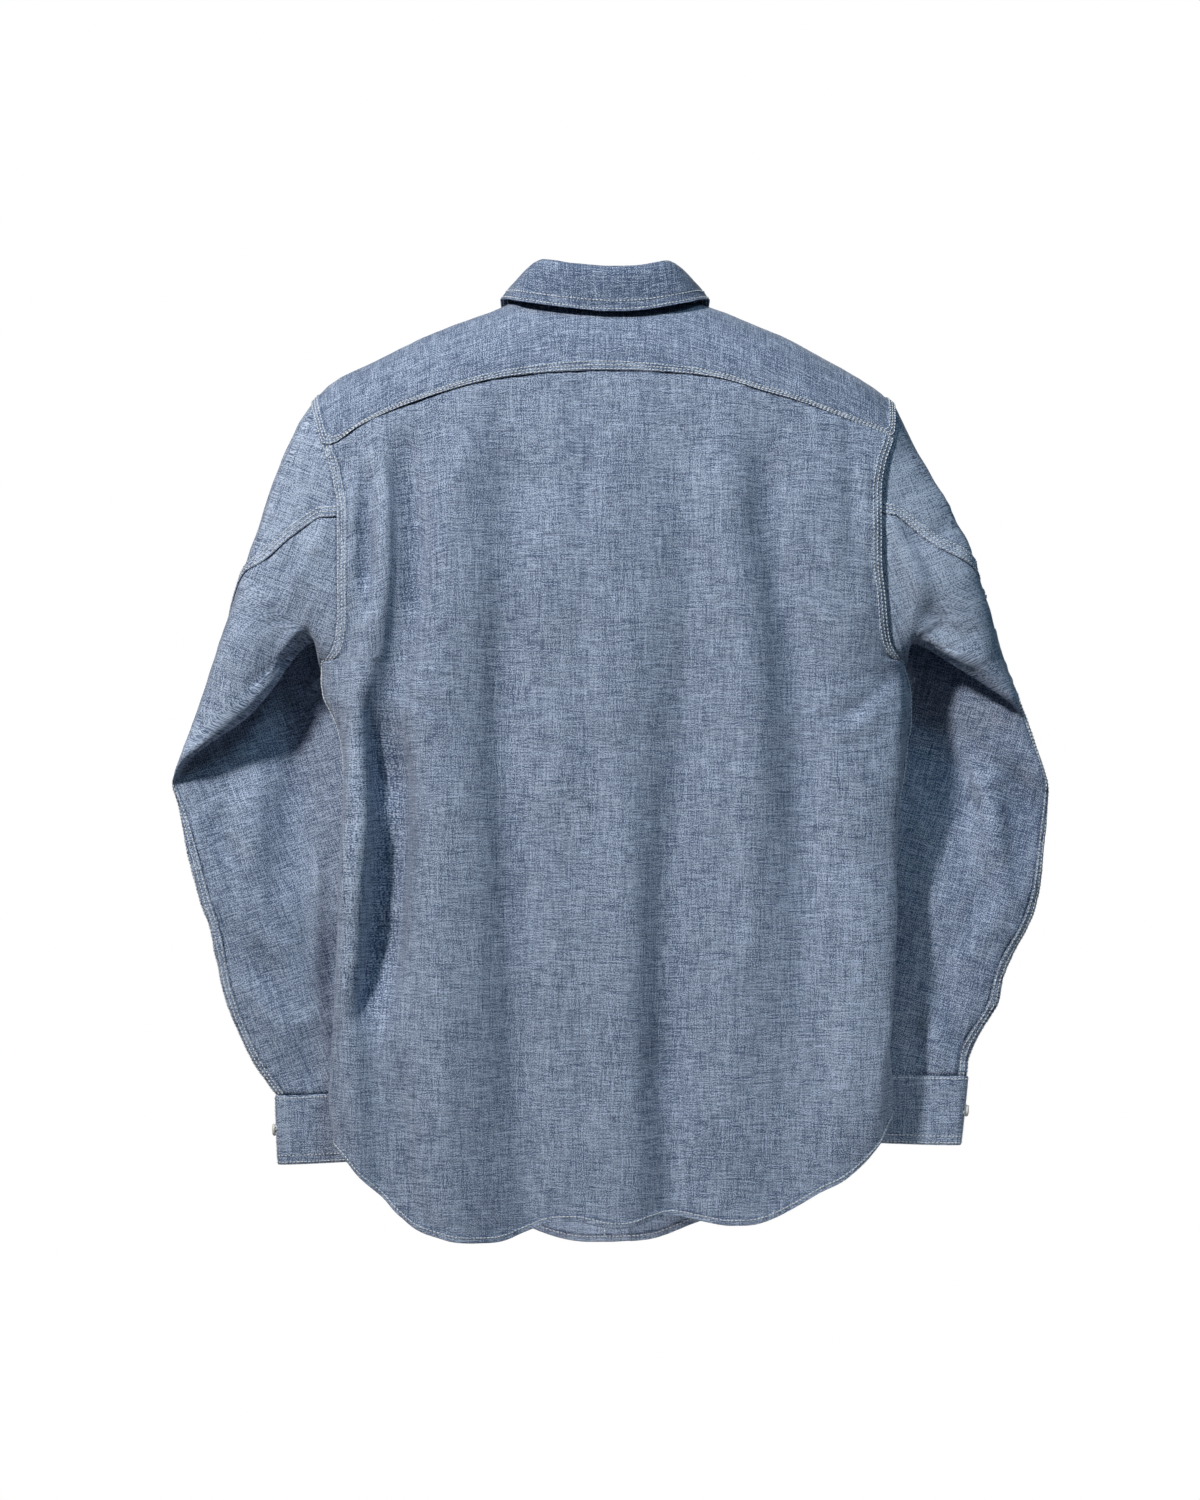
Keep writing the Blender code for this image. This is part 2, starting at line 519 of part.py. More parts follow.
def turn_in_hole(points):
    """The angle of each point of an armhole, 0 at the shoulder and 180 at the underarm."""
    along = (points[:, 2] - ARMHOLE_MIDDLE[1]) / ARMHOLE_HALF[1]
    across = (ARMHOLE_MIDDLE[0] - points[:, 1]) / ARMHOLE_HALF[0]
    turn = np.degrees(np.arctan2(across, along))
    turn[turn < -179.9] += 360
    low = np.abs(points[:, 2] - UNDERARM) < 1e-6
    turn[low] = 180 if turn[0] > 90 else -180
    return turn


def sleeve_grids(side, back, front, yoke):
    """The under sleeve and the top sleeve, rows from the armhole down."""
    edge = 0 if side < 0 else -1
    up_back = back[BODY_ROWS:, edge]
    tip = yoke[-1, 1:YOKE_SIDE_COLUMNS][::-1] if side < 0 else yoke[-1, -YOKE_SIDE_COLUMNS:-1]
    down_front = front[BODY_ROWS:, 0][::-1]
    under_hole = up_back[:SEAM_ROW + 1]
    halves = (under_hole[:-1] + under_hole[1:]) / 2
    under_hole = np.empty((UNDER_COLUMNS + 1, 3))
    under_hole[::2] = up_back[:SEAM_ROW + 1]
    under_hole[1::2] = halves
    top_hole = np.concatenate((up_back[SEAM_ROW:], tip, down_front))
    rows = LEFT_SLEEVE if side < 0 else RIGHT_SLEEVE
    under_turn, top_turn = turn_in_hole(under_hole), turn_in_hole(top_hole)
    under_turn = (180 - under_turn) / (180 - under_turn[-1])
    top_turn = (top_turn[0] - top_turn) / (top_turn[0] + 180)
    under, top = [under_hole], [top_hole]
    for i in range(len(rows["seam"])):
        row = {name: values[i] for name, values in rows.items()}
        evenness = ease(i / EVEN_LOOP)
        under_share = mix(under_turn, np.linspace(0, 1, len(under_hole)), evenness)
        top_share = mix(top_turn, np.linspace(0, 1, len(top_hole)), evenness)
        under_angles = mix(180.0, row["seam"], under_share)
        top_angles = mix(row["seam"], -180.0, top_share)
        under_folds, top_folds = sleeve_fold(side, i, under_angles), sleeve_fold(side, i, top_angles)
        under.append(mix(under_hole, loop_point(row, under_angles, under_folds), row["free"]))
        top.append(mix(top_hole, loop_point(row, top_angles, top_folds), row["free"]))
    return np.array(under), np.array(top)


CUFF_LEAN = {-1: (2, 0), 1: (-6, 0)}    # how far the cuff's outer and inner ends lean
CUFF_BODY, CUFF_END = (-14, 345, 28), (357, 371, 2)     # first and last angle, columns
CUFF_TUCK = (325, 18)       # the under end starts to lie inside at this angle, over this turn
CUFF_ROWS = 4


def cuff_grid(side):
    """The cuff: rows from its seam down, columns from its outside end round the back."""
    rows = LEFT_SLEEVE if side < 0 else RIGHT_SLEEVE
    last = {name: values[-1] for name, values in rows.items()}
    low = dict(last)
    for end, lean in (("out", CUFF_LEAN[side][0]), ("in", CUFF_LEAN[side][1])):
        low[end + "_x"] = last[end + "_x"] + lean
        low[end + "_z"] = last[end + "_z"] - CUFF_DEPTH / MM
    angles = np.concatenate((np.linspace(*CUFF_BODY), np.linspace(*CUFF_END)))
    inside = CUFF_OVERLAP * ease((angles - CUFF_TUCK[0]) / CUFF_TUCK[1])
    grid = []
    for t in np.linspace(CUFF_GAP / CUFF_DEPTH, 1, CUFF_ROWS):
        row = {name: mix(last[name], low[name], t) for name in last}
        points = loop_point(row, angles)
        centre = (loop_point(row, np.array(0.0)) + loop_point(row, np.array(180.0))) / 2
        inward = centre - points
        inward[:, 2] = 0
        inward /= np.linalg.norm(inward, axis=1)[:, None]
        grid.append(points + inward * inside[:, None])
    return np.array(grid)


# ---------------------------------------------------------------- the collar

# By angle from centre back: the top of the stand and the leaf's lower edge.
COLLAR = table(
    "angle top_x top_y top_z edge_x edge_y edge_z",
    (0,    0,    -31,  26.5, 0,     -46,   -3),
    (25,   24,   -30,  27.5, 35,    -44,   -2),
    (50,   46,   -22,  30.5, 66,    -36,   2),
    (70,   56,   -8,   26.5, 82,    -16,   6),
    (90,   60,   6,    18,   85,    9,     3),
    (115,  54,   21,   8,    82,    34,    -12),
    (140,  40,   32,   -4,   72,    52,    -38),
    (160,  22,   39,   -12,  56,    60,    -64),
    (172,  9,    41,   -15,  45,    63,    -80),
    (179,  1.5,  42,   -16,  38,    65,    -88))
LEAF_END = 179.0            # angle of the leaf's two front edges
LEAF_FOOT = 0.9 * MM        # the leaf starts this far above the stand
LEAF_ROLL = table("out up", (1.4, 2.8), (4.0, 4.2), (6.6, 2.6))
LEAF_ROWS = (0.34, 0.67, 1.0)
LEAF_BOW = 2.0 * MM         # how far the leaf bows out halfway down


def collar_line(prefix, angles):
    """Points round the collar; past centre front the line comes back on the other side."""
    turned = np.degrees(angles)
    side = np.sign(turned)
    past = np.abs(turned) > 180
    place = np.where(past, 360 - np.abs(turned), np.abs(turned))
    side = np.where(past, -side, side)
    x, y, z = (smooth(COLLAR["angle"], COLLAR[prefix + axis], place) for axis in ("_x", "_y", "_z"))
    stretch = np.minimum(180 - place, 1.0)
    return np.stack((side * x * stretch, y, z), axis=-1) * MM


def collar_lap(line, angles):
    """The outer front's stand-off, on the front half of a line round the collar."""
    on_outer = (angles < 0) & (np.abs(angles) > math.pi / 2)
    return np.where(on_outer, front_lap(line[:, 0], -1), 0)


def stand_grid(neck_edge, angles):
    """The stand: rows from the neck seam up, columns from the outer end round the back."""
    top = collar_line("top", angles)
    top[:, 1] += collar_lap(neck_edge, angles)
    return np.array([mix(neck_edge, top, t) for t in (0, 0.5, 1)])


def leaf_grid(top, angles):
    """The leaf: rows from the stand's top over the roll to the edge."""
    edge = collar_line("edge", angles)
    out = edge - top
    out[:, 2] = 0
    out /= np.linalg.norm(out, axis=1)[:, None]
    up = np.array([0, 0, 1.0])
    rows = [top + up * LEAF_FOOT]
    for away, rise in zip(LEAF_ROLL["out"], LEAF_ROLL["up"]):
        rows.append(top + out * away * MM + up * rise * MM)
    rolled = rows[-1]
    for t in LEAF_ROWS:
        rows.append(mix(rolled, edge, t) + out * LEAF_BOW * math.sin(math.pi * t))
    return np.array(rows)


# ---------------------------------------------------------------- walls

def triangles(rows, columns):
    """Triangles of a grid, as flat indices; every quad is cut the same way."""
    at = np.arange(rows * columns).reshape(rows, columns)
    a, b, c, d = at[:-1, :-1].ravel(), at[:-1, 1:].ravel(), at[1:, 1:].ravel(), at[1:, :-1].ravel()
    return np.concatenate((np.stack((a, b, c), 1), np.stack((a, c, d), 1)))


def directions_of(grid):
    """The direction across the cloth at every point of one panel."""
    points = grid.reshape(-1, 3)
    sums = np.zeros(points.shape)
    for tri in triangles(*grid.shape[:2]):
        p, q, r = points[tri]
        sums[tri] += np.cross(q - p, r - p)
    return sums / np.linalg.norm(sums, axis=1)[:, None]


def shared_directions(grids):
    """The wall's direction at every point, the same for all panels that meet there."""
    own = {name: directions_of(grid) for name, grid in grids.items()}
    keys = {name: [tuple(key) for key in np.round(grid.reshape(-1, 3) / (0.02 * MM)).astype(int)]
            for name, grid in grids.items()}
    sums = {}
    for name in grids:
        for key, direction in zip(keys[name], own[name]):
            sums[key] = sums.get(key, 0) + direction
    result = {}
    for name, grid in grids.items():
        directions = np.array([sums[key] for key in keys[name]])
        directions /= np.linalg.norm(directions, axis=1)[:, None]
        result[name] = directions.reshape(grid.shape)
    return result


def bisector(seam, near, far):
    """The direction halfway between two strips of cloth that meet at a crease."""
    along = np.gradient(seam, axis=0)
    total = np.zeros(seam.shape)
    for line, sign in ((near, 1), (far, -1)):
        across = np.cross(line - seam, along) * sign
        total += across / np.linalg.norm(across, axis=1)[:, None]
    return total / np.linalg.norm(total, axis=1)[:, None]


def draw_in(grid, gap):
    """The grid with its outer points moved in, so that sewn edges stay apart."""
    result = grid.copy()
    for axis in (0, 1):
        lines = np.moveaxis(grid, axis, 0)
        moved = np.moveaxis(result, axis, 0)
        for edge, inner in ((0, 1), (-1, -2)):
            inward = lines[inner] - lines[edge]
            along = np.gradient(lines[edge], axis=0)
            along /= np.linalg.norm(along, axis=1)[:, None] + 1e-12
            inward -= along * (inward * along).sum(axis=1)[:, None]
            inward /= np.linalg.norm(inward, axis=1)[:, None] + 1e-12
            moved[edge] += inward * gap
    return result


def rim_order(point):
    """Orders the ends of a rim's side, so that both panels of a seam cut it the same way."""
    return round(point[2] / (0.05 * MM)), round(point[0] / (0.05 * MM)), point[1]


def sheet(name, grid, directions, material, lift=0.0, thickness=CLOTH):
    """A closed wall of cloth on a grid, a loft that no modifier makes with shared edges."""
    rows, columns = grid.shape[:2]
    middle = draw_in(grid, SEAM_GAP / 2) + directions * lift
    bm = bmesh.new()
    outer = [bm.verts.new(p) for p in (middle + directions * thickness / 2).reshape(-1, 3)]
    inner = [bm.verts.new(p) for p in (middle - directions * thickness / 2).reshape(-1, 3)]
    for a, b, c in triangles(rows, columns):
        bm.faces.new((outer[a], outer[b], outer[c]))
        bm.faces.new((inner[a], inner[c], inner[b]))
    at = np.arange(rows * columns).reshape(rows, columns)
    rim = np.concatenate((at[0, :-1], at[:-1, -1], at[-1, :0:-1], at[:0:-1, 0]))
    flat = grid.reshape(-1, 3)
    for a, b in zip(rim, np.roll(rim, -1)):
        if rim_order(flat[a]) > rim_order(flat[b]):
            a, b = b, a
        bm.faces.new((outer[a], inner[a], inner[b]))
        bm.faces.new((outer[a], inner[b], outer[b]))
    bmesh.ops.recalc_face_normals(bm, faces=bm.faces)
    mesh = bpy.data.meshes.new(name)
    bm.to_mesh(mesh)
    bm.free()
    mesh.shade_smooth()
    return add_object(name, mesh, material)


def add_object(name, mesh, material):
    mesh.materials.append(material)
    obj = bpy.data.objects.new(name, mesh)
    shirt.objects.link(obj)
    return obj


def button(name, centre, direction, radius, material):
    """A round button with a rounded rim, its axis along direction."""
    bm = bmesh.new()
    bmesh.ops.create_cone(bm, cap_ends=True, segments=BUTTON_SIDES, radius1=radius, radius2=radius,
                          depth=BUTTON_THICKNESS)
    mesh = bpy.data.meshes.new(name)
    bm.to_mesh(mesh)
    bm.free()
    mesh.shade_smooth()
    mesh.set_sharp_from_angle(angle=math.radians(40))
    obj = add_object(name, mesh, material)
    obj.location = centre
    obj.rotation_mode = "QUATERNION"
    obj.rotation_quaternion = Vector(direction).to_track_quat("Z", "Y")
    rim = obj.modifiers.new("rim", "BEVEL")
    rim.width = BUTTON_RIM
    rim.segments = 1
    return obj


def finish(name, colour, roughness, metallic=0.0):
    material = bpy.data.materials.new(name)
    material.use_nodes = True
    shader = material.node_tree.nodes["Principled BSDF"]
    shader.inputs["Base Color"].default_value = (*colour, 1)
    shader.inputs["Roughness"].default_value = roughness
    shader.inputs["Metallic"].default_value = metallic
    return material


# ---------------------------------------------------------------- the shirt

def on_sheet(grid, directions, row, column, lift):
    """A point over a grid, at a place between its rows and columns, and its direction."""
    r, c = int(row), int(column)
    fr, fc = row - r, column - c
    r2, c2 = min(r + 1, grid.shape[0] - 1), min(c + 1, grid.shape[1] - 1)
    point = mix(mix(grid[r, c], grid[r, c2], fc), mix(grid[r2, c], grid[r2, c2], fc), fr)
    low, high = mix(directions[r, c], directions[r, c2], fc), mix(directions[r2, c], directions[r2, c2], fc)
    way = mix(low, high, fr)
    way = way / np.linalg.norm(way)
    return point + way * lift, way


def build_shirt():
    chambray = finish("chambray", (0.20, 0.29, 0.42), 0.85)
    shell = finish("button", (0.80, 0.78, 0.72), 0.35)
    back = back_grid()
    yoke, yoke_angles = yoke_grid()
    left, left_angles = front_grid(-1, yoke)
    right, right_angles = front_grid(1, yoke)
    under_left, top_left = sleeve_grids(-1, back, left, yoke)
    under_right, top_right = sleeve_grids(1, back, right, yoke)
    neck_edge = np.concatenate((left[-1, YOKE_ROWS + 1:][::-1], yoke[0], right[-1, YOKE_ROWS + 1:]))
    neck_angles = np.concatenate((left_angles[::-1], yoke_angles, right_angles))
    stand = stand_grid(neck_edge, neck_angles)
    limit = math.radians(LEAF_END)
    between = neck_angles[np.abs(neck_angles) < limit - 0.02]
    leaf_angles = np.concatenate(([-limit], between[::2], [limit]))
    leaf_top = collar_line("top", leaf_angles)
    leaf_top[:, 1] += collar_lap(leaf_top, leaf_angles)
    leaf = leaf_grid(leaf_top, leaf_angles)

    grids = {
        "back": back, "yoke": yoke[:, ::-1], "front_left": left[:, ::-1], "front_right": right,
        "sleeve_left_under": under_left, "sleeve_left_top": top_left,
        "sleeve_right_under": under_right[:, ::-1], "sleeve_right_top": top_right[:, ::-1],
        "collar_stand": stand}
    directions = shared_directions(grids)
    for side, name, under, top in ((-1, "sleeve_left", under_left, top_left),
                                   (1, "sleeve_right", under_right, top_right)):
        edge = directions[name + "_under"][0]
        edge[1::2] = (edge[:-1:2] + edge[2::2]) / 2
        ways = bisector(under[:, 0], under[:, 1], top[:, -2]) * -side
        directions[name + "_under"][1:, 0 if side < 0 else -1] = ways[1:]
        directions[name + "_top"][1:, -1 if side < 0 else 0] = ways[1:]
    for name, grid in grids.items():
        sheet(name, grid, directions[name], chambray)
    cuffs = {-1: cuff_grid(-1)[:, ::-1], 1: cuff_grid(1)}
    for name, grid in (("collar_leaf", leaf), ("cuff_left", cuffs[-1]), ("cuff_right", cuffs[1])):
        sheet(name, grid, directions_of(grid).reshape(grid.shape), chambray)

    outer, outward = grids["front_left"], directions["front_left"]
    on_front = CLOTH + LAYER_GAP
    sheet("front_placket", outer[:, :3], outward[:, :3], chambray, lift=on_front)
    on_cloth = CLOTH / 2 + BUTTON_THICKNESS / 2 + LAYER_GAP
    last_row = len(outer) - 1
    for number, row in enumerate(np.linspace(last_row - BUTTON_ROW, BUTTON_ROW, FRONT_BUTTONS), 1):
        centre, way = on_sheet(outer, outward, row, 1.0, on_front + on_cloth)
        button("button_front_%d" % number, centre, way, BUTTON_RADIUS, shell)
    centre, way = on_sheet(stand, directions["collar_stand"], 0.9, 1.0, on_cloth)
    button("button_collar", centre, way, BUTTON_RADIUS, shell)
    for side, name in ((-1, "left"), (1, "right")):
        grid = cuffs[side]
        column = CUFF_BUTTON_COLUMN if side > 0 else grid.shape[1] - 1 - CUFF_BUTTON_COLUMN
        ways = directions_of(grid).reshape(grid.shape)
        centre, way = on_sheet(grid, ways, (CUFF_ROWS - 1) / 2, column, on_cloth + CUFF_BUTTON_RISE)
        button("button_cuff_%s" % name, centre, way, CUFF_BUTTON_RADIUS, shell)


for old in list(bpy.data.objects):
    bpy.data.objects.remove(old)
shirt = bpy.data.collections.new("chambray_shirt")
bpy.context.scene.collection.children.link(shirt)
build_shirt()
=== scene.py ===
"""The looks of a chambray shirt that hangs open and empty.

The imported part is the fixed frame. Every panel of cloth is a thin shell on the same
surface as its solid, cut finer, with felled seams, turned hems, creases and puckers.
Stitches, buttonholes and buttons lie on the panels. Metres, +Z up; the back faces -Y.
"""
import math

import bmesh
import bpy
import numpy as np
from mathutils import Matrix, Vector


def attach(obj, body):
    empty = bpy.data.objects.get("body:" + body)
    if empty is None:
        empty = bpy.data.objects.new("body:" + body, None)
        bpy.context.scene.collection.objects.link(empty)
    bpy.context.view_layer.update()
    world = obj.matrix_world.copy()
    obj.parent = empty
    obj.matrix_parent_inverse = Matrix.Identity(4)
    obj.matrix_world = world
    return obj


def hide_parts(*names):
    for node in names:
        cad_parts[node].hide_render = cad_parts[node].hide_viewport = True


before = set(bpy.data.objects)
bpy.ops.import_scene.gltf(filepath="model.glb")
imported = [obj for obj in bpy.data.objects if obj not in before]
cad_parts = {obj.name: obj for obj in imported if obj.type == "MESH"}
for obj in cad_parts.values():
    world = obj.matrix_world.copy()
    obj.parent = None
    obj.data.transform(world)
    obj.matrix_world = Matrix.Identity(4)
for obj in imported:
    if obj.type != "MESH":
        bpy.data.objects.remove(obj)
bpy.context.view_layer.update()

MM = 0.001
ROOF = 60 * MM              # height over which the shoulders round over
UNDERARM = -295 * MM        # level where the side seams meet the sleeves
LEAF_SAG = 4.0              # mm, dip of the collar's fold behind the neck
LEAF_TUCK = 6.5             # mm, how far the leaf's edge lies towards the neck there
LEAF_DROP = 2.6             # mm, how far that edge hangs down
LAP = 2.8 * MM              # how far the outer front stands off the inner one
PLACKET = 34 * MM           # width of the strip on the outer front
PLACKET_LIFT = 1.7 * MM     # how far that strip stands off the front
CUFF_DEPTH = 57 * MM        # cuff, from its seam to its edge
CUFF_GAP = 0.5 * MM
CUFF_OVERLAP = 3.2 * MM     # how far the cuff's under end lies inside

FINE = 4                    # steps of a panel's grid for each one of its solid
BODY_ROWS = 20 * FINE       # hem to underarm
ARM_ROWS = 9 * FINE         # underarm to yoke
BACK_COLUMNS = 30 * FINE
YOKE_ROWS = 5 * FINE
YOKE_SIDE_COLUMNS = 4 * FINE
SEAM_ROW = 6 * FINE         # armhole row where the sleeve's back seam starts
PLACKET_COLUMNS = 2 * FINE
LOOP_STEP = 4.0             # mm between the loops of a sleeve
CLOTH_STEP = 4.2            # mm between the lines of a panel, away from its edges


def table(columns, *rows):
    """A short table by the names of its columns. Lengths are in millimetres, angles in degrees."""
    return {name: np.array([row[i] for row in rows], float) for i, name in enumerate(columns.split())}


def smooth(xs, ys, at):
    """A smooth curve through the points of a table (its ends are kept beyond)."""
    order = np.argsort(xs)
    xs, ys = np.asarray(xs, float)[order], np.asarray(ys, float)[order]
    at = np.clip(np.asarray(at, float), xs[0], xs[-1])
    steps, rises = np.diff(xs), np.diff(ys)
    slopes = rises / steps
    tangents = np.concatenate(([slopes[0]], (slopes[:-1] + slopes[1:]) / 2, [slopes[-1]]))
    flat = slopes[:-1] * slopes[1:] <= 0
    tangents[1:-1][flat] = 0
    i = np.clip(np.searchsorted(xs, at, side="right") - 1, 0, len(steps) - 1)
    t = (at - xs[i]) / steps[i]
    return (ys[i] * (1 + 2 * t) * (1 - t) ** 2 + tangents[i] * steps[i] * t * (1 - t) ** 2
            + ys[i + 1] * t * t * (3 - 2 * t) - tangents[i + 1] * steps[i] * t * t * (1 - t))


def mix(a, b, t):
    return a + (b - a) * t


def ease(t):
    t = np.clip(t, 0, 1)
    return t * t * (3 - 2 * t)


KNOTS = np.random.default_rng(41).uniform(-1, 1, (64, 64))


def noise(u, v, size_u, size_v, seed):
    """Soft random heights from -1 to 1 that change over about size_u and size_v millimetres."""
    u, v = np.broadcast_arrays(np.asarray(u) / (size_u * MM), np.asarray(v) / (size_v * MM))
    i, j = np.floor(u).astype(int), np.floor(v).astype(int)
    fu, fv = ease(u - i), ease(v - j)

    def knot(a, b):
        return KNOTS[(a + 7 * seed) % 64, (b + 13 * seed + a // 64) % 64]

    return mix(mix(knot(i, j), knot(i + 1, j), fu), mix(knot(i, j + 1), knot(i + 1, j + 1), fu), fv)


# ---------------------------------------------------------------- the body

# Half-sections of the body at each level: its two edges, its middle, and how
# far the back, the side edge and the front stand from the plane of the neck.
# "fall" shapes the front's side: 0.5 is round, 1 falls away like a hip.
BODY = table(
    "z     left  right middle back  side front fall",
    (10,   -275, 275,  0,     -40,  0,   40,   0.50),
    (-60,  -275, 275,  0,     -48,  -1,  45,   0.50),
    (-150, -270, 272,  0,     -52,  -3,  49,   0.50),
    (-200, -264, 268,  0,     -53,  -5,  49,   0.50),
    (-250, -248, 256,  1,     -53,  -8,  48,   0.55),
    (-280, -236, 248,  2,     -52,  -9,  47,   0.65),
    (-295, -231, 243.5, 3,    -52,  -10, 46,   0.72),
    (-308, -231, 247,  4,     -51,  -10, 46,   0.76),
    (-322, -229, 249,  4,     -51,  -11, 45,   0.80),
    (-340, -220, 249,  5,     -51,  -12, 44,   0.85),
    (-360, -214, 246,  6,     -50,  -13, 43,   0.90),
    (-385, -211, 243,  7,     -50,  -14, 42,   0.95),
    (-420, -213, 238,  7,     -49,  -14, 41,   1.00),
    (-500, -216, 233,  8,     -47,  -15, 39,   1.00),
    (-590, -221, 230,  8,     -43,  -16, 36,   1.00),
    (-650, -225, 235,  8,     -40,  -17, 34,   1.00),
    (-700, -218, 224,  8,     -37,  -17, 31,   1.00),
    (-780, -208, 212,  8,     -34,  -17, 28,   1.00))

# The line of the shoulders, seen from behind.
SHOULDER = table(
    "x     z",
    (-300, -135), (-262, -103), (-240, -81), (-219, -63), (-188, -46), (-154, -29.5),
    (-111, -12.5), (-84, -2), (-72, 2), (-60, 5), (-40, 9), (0, 11), (40, 9), (60, 5),
    (72, 2), (84, -2), (112, -12.5), (151, -29.5), (179, -45), (210, -62), (236, -81),
    (262, -107), (300, -138))

# The hem, round the body: -2 and 2 centre front, -1 and 1 the side edges, 0 centre back.
HEM = table(
    "round  z",
    (-2.00, -772), (-1.90, -772), (-1.80, -769), (-1.65, -757), (-1.50, -738),
    (-1.35, -708), (-1.22, -674), (-1.12, -656), (-1.05, -664), (-1.00, -688),
    (-0.93, -711), (-0.85, -729), (-0.76, -750), (-0.66, -760), (-0.52, -765),
    (-0.42, -764), (-0.33, -757), (-0.25, -750), (-0.15, -748), (0.00, -753),
    (0.06, -752), (0.15, -746), (0.22, -744), (0.35, -748), (0.45, -751),
    (0.55, -750), (0.65, -742), (0.78, -725), (0.89, -711), (0.96, -690),
    (1.00, -664), (1.05, -650), (1.13, -655), (1.25, -688), (1.40, -725),
    (1.55, -745), (1.70, -758), (1.85, -769), (2.00, -772))

SIDE_SEAM = {-1: -1.12, 1: 1.06}        # place of the side seams at the hem, round the body

# The armhole's edge on each side, seen from behind; the front is cut deeper.
ARMHOLE = table(
    "z     left   right  front_in",
    (-60,  -243,  240,   0),
    (-81,  -240,  237,   0),
    (-100, -235,  236,   2),
    (-117, -230,  233,   4),
    (-130, -225,  228,   6),
    (-150, -220,  224,   8),
    (-170, -217,  223.5, 9),
    (-210, -217,  223.5, 9),
    (-242, -217,  227,   7),
    (-265, -218,  229,   5),
    (-284, -222,  234,   2),
    (-295, -231,  243.5, 0))

# The yoke's seam across the back, and in front of the shoulders (over the ridge).
YOKE_BACK = table(
    "x     z",
    (-231, -116), (-225.5, -118), (-198.5, -102.5), (-174, -91), (-150, -82), (-126, -74),
    (-102, -67.5), (-70, -62), (0, -58), (78, -62), (102, -66.5), (126, -74), (144, -79),
    (162, -84.5), (186, -93.5), (210, -102.5), (234, -111.5))
YOKE_FRONT = 35 * MM        # along the cloth, from the ridge to the front seam
YOKE_CORNER = -116 * MM     # about the level where that seam meets the armholes

# Neck opening, laid out over the ridge: its half width, its middle and half length.
NECK_HALF_WIDTH = 72 * MM
NECK_MIDDLE = 22 * MM
NECK_HALF_LENGTH = 72 * MM
NECK_FRONT_STEPS = (66, 57, 45, 32, 19, 2, -15)     # distance from centre front, in mm

# Where the two fronts end, below the neck.
FRONT_EDGE = table(
    "z     outer inner",
    (-48,  15,   -15),
    (-300, 18,   -8),
    (-600, 24,   10),
    (-772, 29,   21))

# Large folds of the back and of the front: a ridge stands out, a trough goes in
# (negative height). Each follows a line of x at the levels given.
FOLD_LEVELS = (-90, -200, -320, -440, -580, -760)
HEIGHT_LEVELS = (-770, -420, -130)      # where height3, height2 and height1 hold
FOLD_TOP, FOLD_FADE = -85, 70           # folds start here and reach full height this far down
BACK_ROUND, FRONT_ROUND = 3.3, 2.2      # how square the body's half-sections are, 2 for round
FOLDS = table(
    "face  x1    x2    x3    x4    x5    x6    width height1 height2 height3",
    (-1,   -190, -186, -200, -206, -208, -196, 11,   2.0,    11.5,   4.0),
    (-1,   -165, -160, -172, -178, -184, -178, 13,   -4.5,   -11.5,  -5.0),
    (-1,   -130, -138, -142, -136, -136, -128, 26,   5.0,    9.0,    12.5),
    (-1,   -72,  -76,  -80,  -68,  -66,  -62,  24,   -5.0,   -8.0,   -11.0),
    (-1,   4,    10,   14,   10,   8,    14,   22,   2.5,    6.0,    9.5),
    (-1,   60,   66,   66,   60,   56,   58,   17,   -3.0,   -7.0,   -9.5),
    (-1,   92,   98,   116,  118,  112,  108,  18,   5.0,    6.5,    0.0),
    (-1,   128,  138,  158,  162,  160,  152,  14,   -5.0,   -6.5,   0.5),
    (-1,   180,  184,  196,  196,  200,  204,  20,   2.5,    3.5,    2.5),
    (1,    -168, -172, -178, -176, -172, -160, 18,   3.0,    5.0,    6.0),
    (1,    -118, -122, -126, -130, -122, -112, 17,   -3.0,   -6.0,   -7.0),
    (1,    -70,  -74,  -80,  -76,  -70,  -66,  20,   2.0,    5.0,    7.0),
    (1,    70,   78,   86,   84,   80,   84,   20,   2.5,    6.0,    7.0),
    (1,    120,  126,  134,  130,  128,  126,  16,   -3.0,   -6.0,   -6.0),
    (1,    170,  176,  184,  186,  178,  172,  16,   3.0,    4.0,    5.0))


def level(column, z):
    return smooth(BODY["z"], BODY[column], z / MM) * MM


def ridge(x):
    return smooth(SHOULDER["x"], SHOULDER["z"], x / MM) * MM


def fold_height(face, x, z):
    """How far the folds of one face stand out at a point, in metres."""
    total = np.zeros(np.broadcast(x, z).shape)
    for i in np.flatnonzero(FOLDS["face"] == face):
        line = [FOLDS["x%d" % n][i] for n in range(1, 7)]
        middle = smooth(FOLD_LEVELS, line, z / MM)
        heights = [FOLDS["height%d" % n][i] for n in (1, 2, 3)]
        height = smooth(HEIGHT_LEVELS, heights[::-1], z / MM) * ease((FOLD_TOP - z / MM) / FOLD_FADE)
        total = total + height * np.exp(-((x / MM - middle) / FOLDS["width"][i]) ** 2)
    return total * MM


